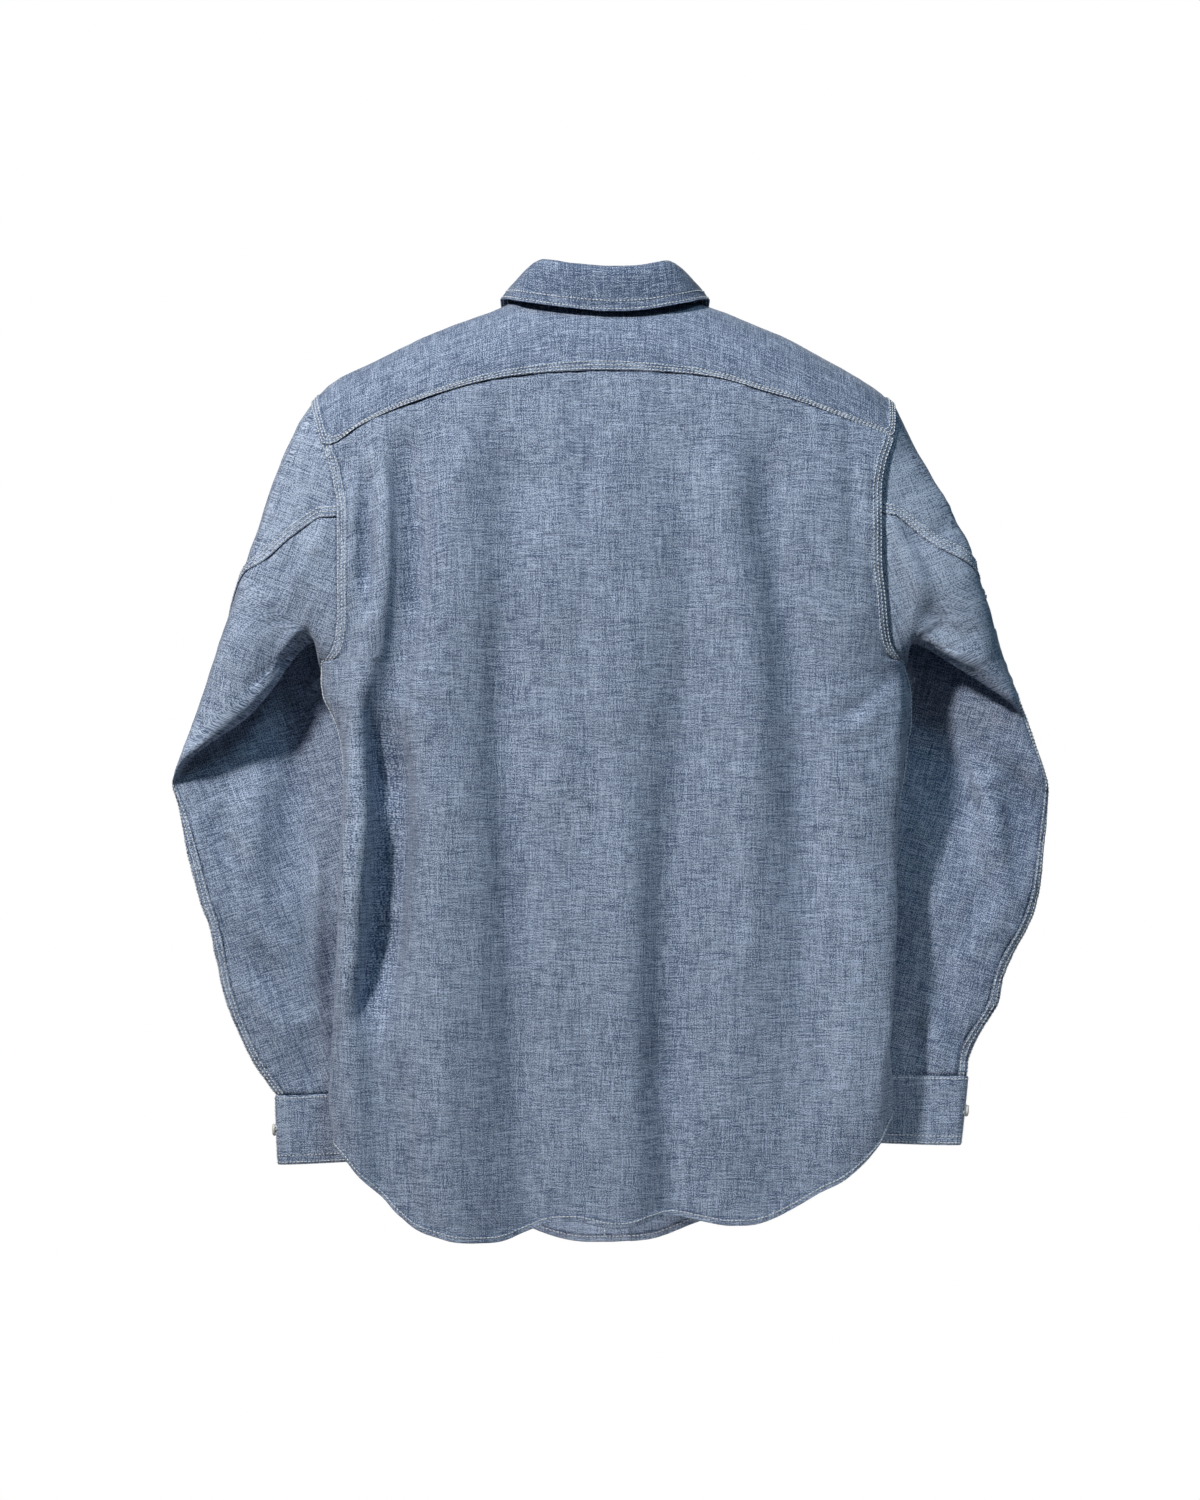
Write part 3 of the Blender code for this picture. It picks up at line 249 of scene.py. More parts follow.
def torso(around, z):
    """The body's surface. around runs -2, -1, 0, 1, 2 from centre front by the
    left edge, centre back and the right edge to centre front again."""
    around, z = np.broadcast_arrays(np.asarray(around, float), np.asarray(z, float))
    on_back = np.abs(around) <= 1
    across = np.where(on_back, np.abs(around), 2 - np.abs(around))
    middle = level("middle", z)
    half = np.where(around < 0, middle - level("left", z), level("right", z) - middle)
    x = middle + np.sign(around) * half * across
    x = np.where(around == 0, middle, x)
    inside = np.minimum(across, 1)
    round_back = (1 - inside ** BACK_ROUND) ** (1 / BACK_ROUND)
    round_front = (1 - inside ** FRONT_ROUND) ** smooth(BODY["z"], BODY["fall"], z / MM)
    reach = np.where(on_back, (level("back", z) - level("side", z)) * round_back,
                     (level("front", z) - level("side", z)) * round_front)
    drop = np.clip((ridge(x) - z) / ROOF, 0, 1)
    roof = np.sqrt(1 - (1 - drop) ** 2)
    folds = np.where(on_back, -fold_height(-1, x, z), fold_height(1, x, z))
    side_fade = np.where(on_back, round_back, round_front)
    y = level("side", z) + reach * roof + folds * side_fade * roof
    return np.stack((x, y, z), axis=-1)


def around_at(x, z, face):
    """The place round the body of a point at x, on the back (-1) or the front (1)."""
    middle = level("middle", z)
    half = np.where(x < middle, middle - level("left", z), level("right", z) - middle)
    across = np.clip(np.abs(x - middle) / half, 0, 1)
    side = np.where(x < middle, -1.0, 1.0)
    return side * np.where(face < 0, across, 2 - across)


def on_body(x, z, face):
    return torso(around_at(x, z, face), z)


def over_shoulder(x, w):
    """A point of the body at x, w along the cloth from the ridge (back negative)."""
    quarter = ROOF * math.pi / 2
    angle = np.clip(np.abs(w) / ROOF, 0, math.pi / 2)
    z = ridge(x) - ROOF * (1 - np.cos(angle)) - np.maximum(np.abs(w) - quarter, 0)
    return on_body(x, z, np.where(w < 0, -1, 1))


def along_cloth(x, z, face):
    """The distance from the ridge of a point at x, z: the inverse of over_shoulder()."""
    drop = np.maximum(ridge(x) - z, 0)
    curved = ROOF * np.arccos(np.clip(1 - drop / ROOF, 0, 1))
    return face * np.where(drop < ROOF, curved, ROOF * math.pi / 2 + drop - ROOF)


def armhole_x(side, z, face=-1):
    x = smooth(ARMHOLE["z"], ARMHOLE["left" if side < 0 else "right"], z / MM)
    if face > 0:
        x = x - side * smooth(ARMHOLE["z"], ARMHOLE["front_in"], z / MM)
    return x * MM


def hem(around):
    return smooth(HEM["round"], HEM["z"], around) * MM


def spaced(points, count):
    """Places 0..1 that cut a line of points into count equal lengths."""
    lengths = np.linalg.norm(np.diff(points, axis=0), axis=1)
    run = np.concatenate(([0], np.cumsum(lengths)))
    return np.interp(np.linspace(0, 1, count + 1), run / run[-1], np.linspace(0, 1, len(points)))


def shoulder_tip(side):
    """Level of the yoke's back corner at the armhole."""
    x = armhole_x(side, YOKE_CORNER)
    return float(smooth(YOKE_BACK["x"], YOKE_BACK["z"], x / MM) * MM)


def back_grid():
    """Rows from the hem up to the yoke seam, columns from left to right, and each row's level."""
    rows, levels = [], []
    fine = np.linspace(SIDE_SEAM[-1], SIDE_SEAM[1], 481)
    for t in np.linspace(0, 1, BODY_ROWS + 1):
        start, end = mix(SIDE_SEAM[-1], -1.0, ease(t)), mix(SIDE_SEAM[1], 1.0, ease(t))
        places = mix(start, end, (fine - fine[0]) / (fine[-1] - fine[0]))
        line = torso(places, mix(hem(places), UNDERARM, t))
        at = np.interp(spaced(line, BACK_COLUMNS), np.linspace(0, 1, len(places)), places)
        rows.append(torso(at, mix(hem(at), UNDERARM, t)))
        levels.append(t)
    first = rows[-1]
    share = (first[:, 0] - first[0, 0]) / (first[-1, 0] - first[0, 0])
    seam = yoke_back_line()
    seam_share = (seam[:, 0] - seam[0, 0]) / (seam[-1, 0] - seam[0, 0])
    for t in np.linspace(0, 1, ARM_ROWS + 1)[1:]:
        left_z, right_z = mix(UNDERARM, seam[0, 2], t), mix(UNDERARM, seam[-1, 2], t)
        x = mix(armhole_x(-1, left_z), armhole_x(1, right_z), mix(share, seam_share, ease(t)))
        rows.append(on_body(x, mix(first[:, 2], seam[:, 2], t), -1))
        levels.append(1 + t)
    rows[-1] = seam
    return with_level(np.array(rows), levels)


def with_level(grid, levels):
    """A grid with one more number at each point: 0 at the hem, 1 at the underarm, 2 at the top."""
    level_of = np.broadcast_to(np.array(levels)[:, None, None], grid.shape[:2] + (1,))
    return np.concatenate((grid, level_of), axis=-1)


def yoke_back_line():
    """Points of the seam between back and yoke, from left to right."""
    fine = np.linspace(armhole_x(-1, shoulder_tip(-1)), armhole_x(1, shoulder_tip(1)), 481)
    z = smooth(YOKE_BACK["x"], YOKE_BACK["z"], fine / MM) * MM
    at = np.interp(spaced(on_body(fine, z, -1), BACK_COLUMNS), np.linspace(0, 1, 481), fine)
    return on_body(at, smooth(YOKE_BACK["x"], YOKE_BACK["z"], at / MM) * MM, -1)


def neck_point(angle):
    """The neck seam; angle 0 is centre back, positive towards the right."""
    return over_shoulder(NECK_HALF_WIDTH * np.sin(angle), NECK_MIDDLE - NECK_HALF_LENGTH * np.cos(angle))


YOKE_NECK_END = math.acos((NECK_MIDDLE - YOKE_FRONT) / NECK_HALF_LENGTH)


def yoke_outline(side):
    """The yoke's armhole edge in x and w, from its front corner to its back corner."""
    back_w = along_cloth(armhole_x(side, shoulder_tip(side)), shoulder_tip(side), -1)
    w = np.linspace(YOKE_FRONT, back_w, YOKE_SIDE_COLUMNS + 1)
    x = np.full(w.shape, armhole_x(side, YOKE_CORNER))
    for _ in range(8):
        z = ridge(x) - ROOF * (1 - np.cos(np.clip(np.abs(w) / ROOF, 0, math.pi / 2)))
        x = np.where(w > 0, armhole_x(side, z, 1), armhole_x(side, z))
    return x, w


def yoke_grid():
    """Rows from the neck out, columns from the left front seam round the back. Each point
    also has its place on the flat cut, x and w."""
    left_x, left_w = yoke_outline(-1)
    right_x, right_w = yoke_outline(1)
    seam = yoke_back_line()
    seam_w = along_cloth(seam[:, 0], seam[:, 2], -1)
    outer_x = np.concatenate((left_x[:-1], seam[:, 0], right_x[::-1][1:]))
    outer_w = np.concatenate((left_w[:-1], seam_w, right_w[::-1][1:]))
    angles = np.linspace(-YOKE_NECK_END, YOKE_NECK_END, len(outer_x))
    inner_x = NECK_HALF_WIDTH * np.sin(angles)
    inner_w = NECK_MIDDLE - NECK_HALF_LENGTH * np.cos(angles)
    rows = []
    for t in np.linspace(0, 1, YOKE_ROWS + 1):
        x, w = mix(inner_x, outer_x, t), mix(inner_w, outer_w, t)
        rows.append(np.concatenate((over_shoulder(x, w), x[:, None], w[:, None]), axis=1))
    rows[-1][YOKE_SIDE_COLUMNS:YOKE_SIDE_COLUMNS + BACK_COLUMNS + 1, :3] = seam
    return np.array(rows), angles


def front_lap(x, side):
    """How far the outer front stands off at x, towards its free edge."""
    return LAP * ease((x / MM + 46) / 22) if side < 0 else np.zeros(np.shape(x))


def finer(values):
    """Numbers with FINE even steps for each one."""
    values = np.asarray(values, float)
    return np.interp(np.linspace(0, len(values) - 1, (len(values) - 1) * FINE + 1), np.arange(len(values)), values)


def front_grid(side, yoke):
    """One front: rows from the hem up, columns from the side seam to the free edge."""
    column = "outer" if side < 0 else "inner"
    shoulder = yoke[::-1, 0, :3] if side < 0 else yoke[::-1, -1, :3]
    steps = np.array(NECK_FRONT_STEPS, float) * MM
    bend = math.pi - np.sign(steps) * np.arcsin(np.abs(steps) / NECK_HALF_WIDTH)
    angles = side * finer(np.concatenate(([YOKE_NECK_END], bend)))[1:]
    top = np.concatenate((shoulder, neck_point(angles)))
    rows, levels = [], []
    for t in np.linspace(0, 1, BODY_ROWS + 1):
        start = mix(SIDE_SEAM[side], side * 1.0, ease(t))
        edge_z = mix(hem(2.0), UNDERARM, t)
        edge_x = smooth(FRONT_EDGE["z"], FRONT_EDGE[column], edge_z / MM) * MM
        middle = level("middle", edge_z)
        past_middle = (middle - edge_x) * side / (level("right", edge_z) - middle)
        places = mix(abs(start), 2 + past_middle, np.linspace(0, 1, 321))
        line = front_place(places, side, t)
        run = np.concatenate(([0], np.cumsum(np.linalg.norm(np.diff(line, axis=0), axis=1))))
        strip = PLACKET / run[-1]
        share = np.concatenate((np.linspace(0, 1 - strip, len(top) - PLACKET_COLUMNS),
                                np.linspace(1 - strip, 1, PLACKET_COLUMNS + 1)[1:]))
        rows.append(front_place(np.interp(share, run / run[-1], places), side, t))
        levels.append(t)
    first = rows[-1].copy()
    low_share = (first[:, 0] - first[0, 0]) / (first[-1, 0] - first[0, 0])
    top_share = (top[:, 0] - top[0, 0]) / (top[-1, 0] - top[0, 0])
    for t in np.linspace(0, 1, ARM_ROWS + 1)[1:]:
        side_z, edge_z = mix(UNDERARM, top[0, 2], t), mix(UNDERARM, top[-1, 2], t)
        edge_x = smooth(FRONT_EDGE["z"], FRONT_EDGE[column], edge_z / MM) * MM
        x = mix(armhole_x(side, side_z, 1), edge_x, mix(low_share, top_share, ease(t)))
        rows.append(on_body(x, mix(first[:, 2], top[:, 2], t), 1))
        levels.append(1 + t)
    rows[-1] = top
    grid = np.array(rows)
    grid[..., 1] += front_lap(grid[..., 0], side)
    return with_level(grid, levels), angles


def front_place(places, side, t):
    """Points of a front's row: places run from the side edge, 1, past centre front, 2."""
    signed = np.where(places <= 2, side * places, -side * (4 - places))
    height = mix(hem(signed), UNDERARM, t)
    return torso(signed, height)

# ---------------------------------------------------------------- the sleeves

# Loops of each sleeve, from the armhole down. A loop has an outer and an inner
# point, and stands back and front of the line between them; "up" moves the
# middle of that half up or down. "seam" is the angle of the back seam, from the
# outer point towards the back, and "free" says how far the loop has left the
# armhole's own shape. The upper sleeve hangs over the forearm as a fold: the
# cloth turns up inside itself at fold_3 and down again at valley_2.
SLEEVE_COLUMNS = "out_x out_y out_z  in_x in_y in_z lift  back back_up  front front_up  seam free"
LEFT_SLEEVE = table(
    SLEEVE_COLUMNS,
    (-259, 0, -112, -232.5, -9, -297, 0, 37, 0, 30, 0, 74, 0.45),
    (-278, 0, -160, -232.5, -8, -298, 0, 36, 0, 30, 0, 66, 0.85),
    (-291, 0, -200, -232.5, -6.5, -299, 0, 35, 0, 29, 0, 50, 1),
    (-301, -1, -233, -232.4, -5, -299.8, 0, 34, 0, 28, 0, 16, 1),
    (-311, -1, -265, -232.2, -3.5, -300.6, 0, 33, 0, 28, 0, -12, 1),
    (-326, -2, -309, -232, -2, -301.4, 0, 30, 1, 27, 0, -24, 1),
    (-341, -3, -355, -231.6, -0.5, -302.4, 0, 26, 1, 26, -2, -14, 1),
    (-351, -6, -382, -231, 1, -303.6, 0, 21, -2, 25, -4, 0, 1),
    (-352.5, -5, -386.5, -230.4, 2, -304.8, 0, 18.5, -5, 24.5, -6, 2, 1),
    (-353.4, -4, -389.5, -229.8, 3, -306, 0, 16, -3, 24, -8, 4, 1),
    (-354, -2.5, -392, -229, 4, -307.2, 0, 12.5, 18, 23, -11, 6, 1),
    (-354.2, -1.5, -394.5, -228, 5, -308.6, 0, 9.5, 21, 22, -14, 8, 1),
    (-353.6, -0.5, -398, -227, 6.5, -310.2, 0, 6.5, 18, 21, -17, 10, 1),
    (-350.5, 0, -408, -226, 8, -313, 0, 6, 4, 19, -16, 14, 1),
    (-347, 0, -423, -221, 12, -320, 0, 6, 0, 18, -12, 20, 1),
    (-343.5, -1, -440, -209, 19, -345, 0, 8, 0, 17, -2, 24, 1),
    (-338, 0, -463, -200, 24, -396, 0, 11, 0, 15, 0, 26, 1),
    (-331, 0, -488, -194, 27, -446, 0, 13, 0, 15, 0, 27, 1),
    (-321, 0, -521, -190, 28, -494, 0, 14, 0, 15, 0, 28, 1),
    (-315, 1, -555, -184, 29, -540, 0, 14, 0, 15, 0, 28, 1),
    (-305, 2, -586, -175, 29, -582, 0, 14, 0, 15, 0, 29, 1),
    (-289, 3, -621, -164, 29, -618, 0, 14, 0, 15, 0, 30, 1),
    (-270, 4, -648, -156, 28, -644, 0, 14, 0, 14, 0, 31, 1))
RIGHT_SLEEVE = table(
    SLEEVE_COLUMNS,
    (254, 0, -114, 246, -9, -297, 0, 35, 0, 30, 0, 74, 0.45),
    (275, 0, -160, 246, -8, -298.3, 0, 35, 0, 30, 0, 66, 0.85),
    (290, 0, -192, 246, -6.5, -299.4, 0, 34, 0, 29, 0, 50, 1),
    (302, -1, -226, 245.8, -5, -300.4, 0, 33, 0, 28, 0, 18, 1),
    (313, -1, -252, 245.6, -3.5, -301.4, 0, 32, 0, 28, 0, -8, 1),
    (324, -2, -283, 245.4, -2, -302.4, 0, 30, 1, 27, 0, -18, 1),
    (332, -3, -304, 245.2, -0.5, -303.4, 0, 27, 3, 26, -2, -10, 1),
    (338, -6, -320, 245, 1, -304.6, 0, 22, 3, 25, -4, 0, 1),
    (339.4, -5, -324.5, 244.8, 2, -305.8, 0, 19.5, 0, 24.5, -6, 2, 1),
    (340.6, -4, -327.5, 244.5, 3, -307, 0, 17, 2, 24, -8, 4, 1),
    (341.6, -2.5, -330, 244, 4, -308.2, 0, 13.5, 20, 23, -11, 6, 1),
    (342.8, -1.5, -332.5, 243.5, 5, -309.6, 0, 10.5, 23, 22, -14, 8, 1),
    (344.4, -0.5, -336, 243, 6.5, -311.2, 0, 7.5, 20, 21, -17, 10, 1),
    (350, 0, -352, 242, 8, -314, 0, 7, 5, 19, -16, 12, 1),
    (358, -2, -376, 239, 12, -322, 0, 7, 0, 18, -10, 14, 1),
    (362.5, -1, -398, 233, 19, -348, 0, 8, 0, 17, -2, 15, 1),
    (360.5, 0, -430, 224, 24, -404, 0, 10, 0, 15, 0, 17, 1),
    (356, 0, -470, 216, 27, -450, 0, 13, 0, 15, 0, 20, 1),
    (347, 0, -505, 208, 28, -494, 0, 14, 0, 15, 0, 23, 1),
    (329, 1, -538, 200, 29, -534, 0, 14, 0, 15, 0, 25, 1),
    (319, 2, -574, 192, 29, -574, 0, 14, 0, 15, 0, 27, 1),
    (301, 3, -605, 184, 29, -606, 0, 14, 0, 15, 0, 29, 1),
    (297.5, 4, -632, 180, 28, -630, 0, 14, 0, 14, 0, 31, 1))
# The lip of the fold rises to the armpit: by how much at each angle of a loop, how much of
# that each loop takes, and how far the cloth behind the lip stands back.
LIP_RISE = {-1: ((0, 30, 60, 90, 110, 125, 140, 148, 155, 165, 172, 180), (0, 8, 12, 14, 23, 34, 38, 38, 33, 20, 10, 0)),
            1: ((0, 30, 60, 90, 110, 125, 140, 150, 160, 170, 180), (-6, -3, 5, 16, 23, 28, 31, 31, 24, 10, 0))}
LIP_SHARE = ((-1, 0, 1, 3, 5, 7, 12.5, 13, 14, 15, 16.5), (0, 0.15, 0.3, 0.56, 0.78, 1, 1, 0.85, 0.45, 0.2, 0))
BEHIND_LIP = ((7.5, 9.5, 11.5, 14.5, 17, 20), (0, 6, 17, 16, 6, 0))

# Large folds on the backs of the sleeves: each runs over some of the loops at
# an angle that changes on the way; a ridge stands out, a trough goes in.
SLEEVE_FOLDS = table(
    "side loop1 loop2 angle1 angle2 width height",
    (-1, 14, 20, 116, 100, 20, -7),
    (-1, 13, 19, 84,  64,  18, 5),
    (-1, 17, 22, 140, 128, 16, 4),
    (-1, 1,  6,  112, 92,  17, -4),
    (-1, 0,  6,  138, 122, 15, 3),
    (1,  13, 18, 112, 66,  15, -7),
    (1,  13, 18, 88,  44,  14, 5),
    (1,  18, 22, 64,  84,  14, -4),
    (1,  17, 22, 130, 118, 18, 4),
    (1,  1,  6,  118, 100, 17, -4))
BLUNT = 0.75                # how blunt the two ends of a loop are, 1 for an ellipse
ARMHOLE_MIDDLE = (-8 * MM, -190 * MM)   # y and z
ARMHOLE_HALF = (32 * MM, 106 * MM)
EVEN_LOOP = 8               # from this loop on, columns are evenly turned
UNDER_COLUMNS = 12          # across the under sleeve, twice as close as the armhole's rows


def sleeve_fold(side, loop, angle):
    """How far the folds of a sleeve's back stand out on one loop, in mm."""
    total = np.zeros(np.shape(angle))
    for i in np.flatnonzero(SLEEVE_FOLDS["side"] == side):
        first, last = SLEEVE_FOLDS["loop1"][i], SLEEVE_FOLDS["loop2"][i]
        t = np.clip((loop - first) / (last - first), 0, 1)
        middle = mix(SLEEVE_FOLDS["angle1"][i], SLEEVE_FOLDS["angle2"][i], t)
        swell = math.sin(math.pi * t) ** 0.7
        away = (angle - middle) / SLEEVE_FOLDS["width"][i]
        total += SLEEVE_FOLDS["height"][i] * swell * np.exp(-away ** 2)
    return total


def loop_point(row, angle, fold=0.0, rise=0.0, behind=0.0):
    """A point of one sleeve loop; angle 0 outer, 90 back, 180 inner, -90 front."""
    outer = np.array([row["out_x"], row["out_y"], row["out_z"]])
    inner = np.array([row["in_x"], row["in_y"], row["in_z"]])
    middle, half = (outer + inner) / 2, (outer - inner) / 2
    c, s = np.cos(np.radians(angle))[..., None], np.sin(np.radians(angle))[..., None]
    depth = np.abs(s) ** BLUNT
    rise, behind = (np.asarray(v)[..., None] + 0 * s for v in (rise, behind))
    back = np.concatenate((0 * s, -row["back"] * depth - np.asarray(fold)[..., None] * s * s + behind,
                           row["back_up"] * np.abs(s) ** 3 + rise), axis=-1)
    front = np.concatenate((0 * s, row["front"] * depth, row["front_up"] * s * s), axis=-1)
    return (middle + half * c + np.where(s > 0, back, front)) * MM


def turn_in_hole(points):
    """The angle of each point of an armhole, 0 at the shoulder and 180 at the underarm."""
    along = (points[:, 2] - ARMHOLE_MIDDLE[1]) / ARMHOLE_HALF[1]
    across = (ARMHOLE_MIDDLE[0] - points[:, 1]) / ARMHOLE_HALF[0]
    turn = np.degrees(np.arctan2(across, along))
    turn[turn < -179.9] += 360
    low = np.abs(points[:, 2] - UNDERARM) < 1e-6
    turn[low] = 180 if turn[0] > 90 else -180
    return turn


def sleeve_grids(side, back, front, yoke):
    """The under sleeve and the top sleeve, rows from the armhole down. Each point also
    has its loop, -1 at the armhole, and its angle."""
    edge = 0 if side < 0 else -1
    up_back = back[BODY_ROWS:, edge, :3]
    tip = yoke[-1, 1:YOKE_SIDE_COLUMNS, :3][::-1] if side < 0 else yoke[-1, -YOKE_SIDE_COLUMNS:-1, :3]
    down_front = front[BODY_ROWS:, 0, :3][::-1]
    rows = LEFT_SLEEVE if side < 0 else RIGHT_SLEEVE
    last = len(rows["seam"]) - 1
    reach = np.hypot(np.diff(rows["out_x"]), np.diff(rows["out_z"]))
    loops = [np.linspace(-1, 0, 7)]
    for i, length in enumerate(reach):
        loops.append(np.linspace(i, i + 1, max(2, math.ceil(length / LOOP_STEP)) + 1)[1:])
    loops = np.concatenate(loops)
    grids = []
    for hole in (up_back[:SEAM_ROW + 1], np.concatenate((up_back[SEAM_ROW:], tip, down_front))):
        under = not grids
        turn = turn_in_hole(hole)
        turn = (180 - turn) / (180 - turn[-1]) if under else (turn[0] - turn) / (turn[0] + 180)
        grid = []
        for loop in loops:
            place = max(loop, 0.0)
            row = {name: float(smooth(np.arange(last + 1), values, place)) for name, values in rows.items()}
            free = np.interp(loop, (-1, 0, 1, 2), (0, rows["free"][0], rows["free"][1], 1))
            share = mix(turn, np.linspace(0, 1, len(hole)), ease(place / EVEN_LOOP))
            angles = mix(180.0, row["seam"], share) if under else mix(row["seam"], -180.0, share)
            rise = np.interp(angles, *LIP_RISE[side]) * np.interp(loop, *LIP_SHARE)
            behind = np.interp(loop, *BEHIND_LIP) * np.exp(-((angles - 112) / 58) ** 2)
            points = loop_point(row, angles, sleeve_fold(side, place, angles), rise, behind)
            points = mix(hole, points, free)
            grid.append(np.column_stack((points, np.full(len(hole), loop), angles)))
        grids.append(np.array(grid))
    return grids


CUFF_LEAN = {-1: (2, 0), 1: (-6, 0)}    # how far the cuff's outer and inner ends lean
CUFF_BODY, CUFF_END = (-14, 345, 28), (357, 371, 2)     # first and last angle, columns
CUFF_TUCK = (325, 18)       # the under end starts to lie inside at this angle, over this turn
CUFF_ROWS = 15


def cuff_grid(side):
    """The cuff: rows from its seam down, columns from its outside end round the back."""
    rows = LEFT_SLEEVE if side < 0 else RIGHT_SLEEVE
    last = {name: values[-1] for name, values in rows.items()}
    low = dict(last)
    for end, lean in (("out", CUFF_LEAN[side][0]), ("in", CUFF_LEAN[side][1])):
        low[end + "_x"] = last[end + "_x"] + lean
        low[end + "_z"] = last[end + "_z"] - CUFF_DEPTH / MM
    angles = finer(np.concatenate((np.linspace(*CUFF_BODY), np.linspace(*CUFF_END))))
    inside = CUFF_OVERLAP * ease((angles - CUFF_TUCK[0]) / CUFF_TUCK[1])
    grid = []
    for t in np.linspace(CUFF_GAP / CUFF_DEPTH, 1, CUFF_ROWS):
        row = {name: mix(last[name], low[name], t) for name in last}
        points = loop_point(row, angles)
        centre = (loop_point(row, np.array(0.0)) + loop_point(row, np.array(180.0))) / 2
        inward = centre - points
        inward[:, 2] = 0
        inward /= np.linalg.norm(inward, axis=1)[:, None]
        grid.append(points + inward * inside[:, None])
    return np.array(grid)


# ---------------------------------------------------------------- the collar


# By angle from centre back: the top of the stand and the leaf's lower edge.
COLLAR = table(
    "angle top_x top_y top_z edge_x edge_y edge_z",
    (0,    0,    -31,  26.5, 0,     -46,   -3),
    (25,   24,   -30,  27.5, 35,    -44,   -2),
    (50,   46,   -22,  30.5, 66,    -36,   2),
    (70,   56,   -8,   26.5, 82,    -16,   6),
    (90,   60,   6,    18,   85,    9,     3),
    (115,  54,   21,   8,    82,    34,    -12),
    (140,  40,   32,   -4,   72,    52,    -38),
    (160,  22,   39,   -12,  56,    60,    -64),
    (172,  9,    41,   -15,  45,    63,    -80),
    (179,  1.5,  42,   -16,  38,    65,    -88))
LEAF_END = 179.0            # angle of the leaf's two front edges
LEAF_FOOT = 0.9 * MM        # the leaf starts this far above the stand
LEAF_ROLL = table("out up", (1.4, 2.8), (4.0, 4.2), (6.6, 2.6))
LEAF_ROWS = (0.34, 0.67, 1.0)
LEAF_BOW = 2.0 * MM         # how far the leaf bows out halfway down


def collar_line(prefix, angles):
    """Points round the collar; past centre front the line comes back on the other side."""
    turned = np.degrees(angles)
    side = np.sign(turned)
    past = np.abs(turned) > 180
    place = np.where(past, 360 - np.abs(turned), np.abs(turned))
    side = np.where(past, -side, side)
    x, y, z = (smooth(COLLAR["angle"], COLLAR[prefix + axis], place) for axis in ("_x", "_y", "_z"))
    stretch = np.minimum(180 - place, 1.0)
    return np.stack((side * x * stretch, y, z), axis=-1) * MM


def collar_lap(line, angles):
    """The outer front's stand-off, on the front half of a line round the collar."""
    on_outer = (angles < 0) & (np.abs(angles) > math.pi / 2)
    return np.where(on_outer, front_lap(line[:, 0], -1), 0)

STAND_ROWS = 9
LEAF_CONTROL = 6            # rows that shape the leaf, from the stand over the roll to the edge


def stand_grid(neck_edge, angles):
    """The stand: rows from the neck seam up, columns from the outer end round the back."""
    top = collar_line("top", angles)
    top[:, 1] += collar_lap(neck_edge, angles)
    return np.array([mix(neck_edge, top, t) for t in np.linspace(0, 1, STAND_ROWS)])


def leaf_grid(top, angles):
    """The leaf: rows from the stand's top over the roll to the edge."""
    edge = collar_line("edge", angles)
    out = edge - top
    out[:, 2] = 0
    out /= np.linalg.norm(out, axis=1)[:, None]
    up = np.array([0, 0, 1.0])
    rows = [top + up * LEAF_FOOT]
    for away, rise in zip(LEAF_ROLL["out"], LEAF_ROLL["up"]):
        rows.append(top + out * away * MM + up * rise * MM)
    rolled = rows[-1]
    for t in LEAF_ROWS:
        rows.append(mix(rolled, edge, t) + out * LEAF_BOW * math.sin(math.pi * t))
    columns = np.moveaxis(np.array(rows), 1, 0)
    return np.moveaxis(np.array([along(c, np.linspace(0, 1, 34) ** 1.15 * run_of(c)[-1]) for c in columns]), 1, 0)


# ---------------------------------------------------------------- panels of cloth

# Lines of a panel close to one of its edges, in mm from it, for each way the edge is sewn.
# "raised" lies on its neighbour as a felled seam, "tucked" passes under it.
EDGE_LINES = {
    "raised": (0, 0.7, 1.8, 3.4, 5.6, 7.6, 8.7, 9.6, 11.4, 14.4),
    "tucked": (0, 0.9, 2.4, 4.6, 7.6),
    "hem": (0, 0.8, 2.2, 3.8, 4.9, 5.8, 7.8, 11),
    "folded": (0, 0.5, 1.3, 2.6, 4.4, 6.6, 8.4, 11),
    "plain": (0, 1.2, 3.4)}
FELL = 9.0                  # mm, width of a felled seam
HEM_WIDTH = 5.0             # mm, width of the turned hem
EDGES = ("first", "last", "low", "high")


def run_of(line):
    """The distance along a line of points, in metres."""
    return np.concatenate(([0], np.cumsum(np.linalg.norm(np.diff(line[:, :3], axis=0), axis=1))))


def along(line, at):
    """Points of a smooth curve through a line of points, at distances along it."""
    run = run_of(line)
    step = np.maximum(np.diff(run), 1e-9)[:, None]
    slope = np.diff(line, axis=0) / step
    inner = (slope[:-1] * step[1:] + slope[1:] * step[:-1]) / (step[1:] + step[:-1])
    tangent = np.vstack((slope[:1], inner, slope[-1:]))
    i = np.clip(np.searchsorted(run, at, side="right") - 1, 0, len(step) - 1)
    t, h = ((at - run[i]) / step[i, 0])[:, None], step[i]
    return (line[i] * (1 + 2 * t) * (1 - t) ** 2 + tangent[i] * h * t * (1 - t) ** 2
            + line[i + 1] * t * t * (3 - 2 * t) - tangent[i + 1] * h * t * t * (1 - t))


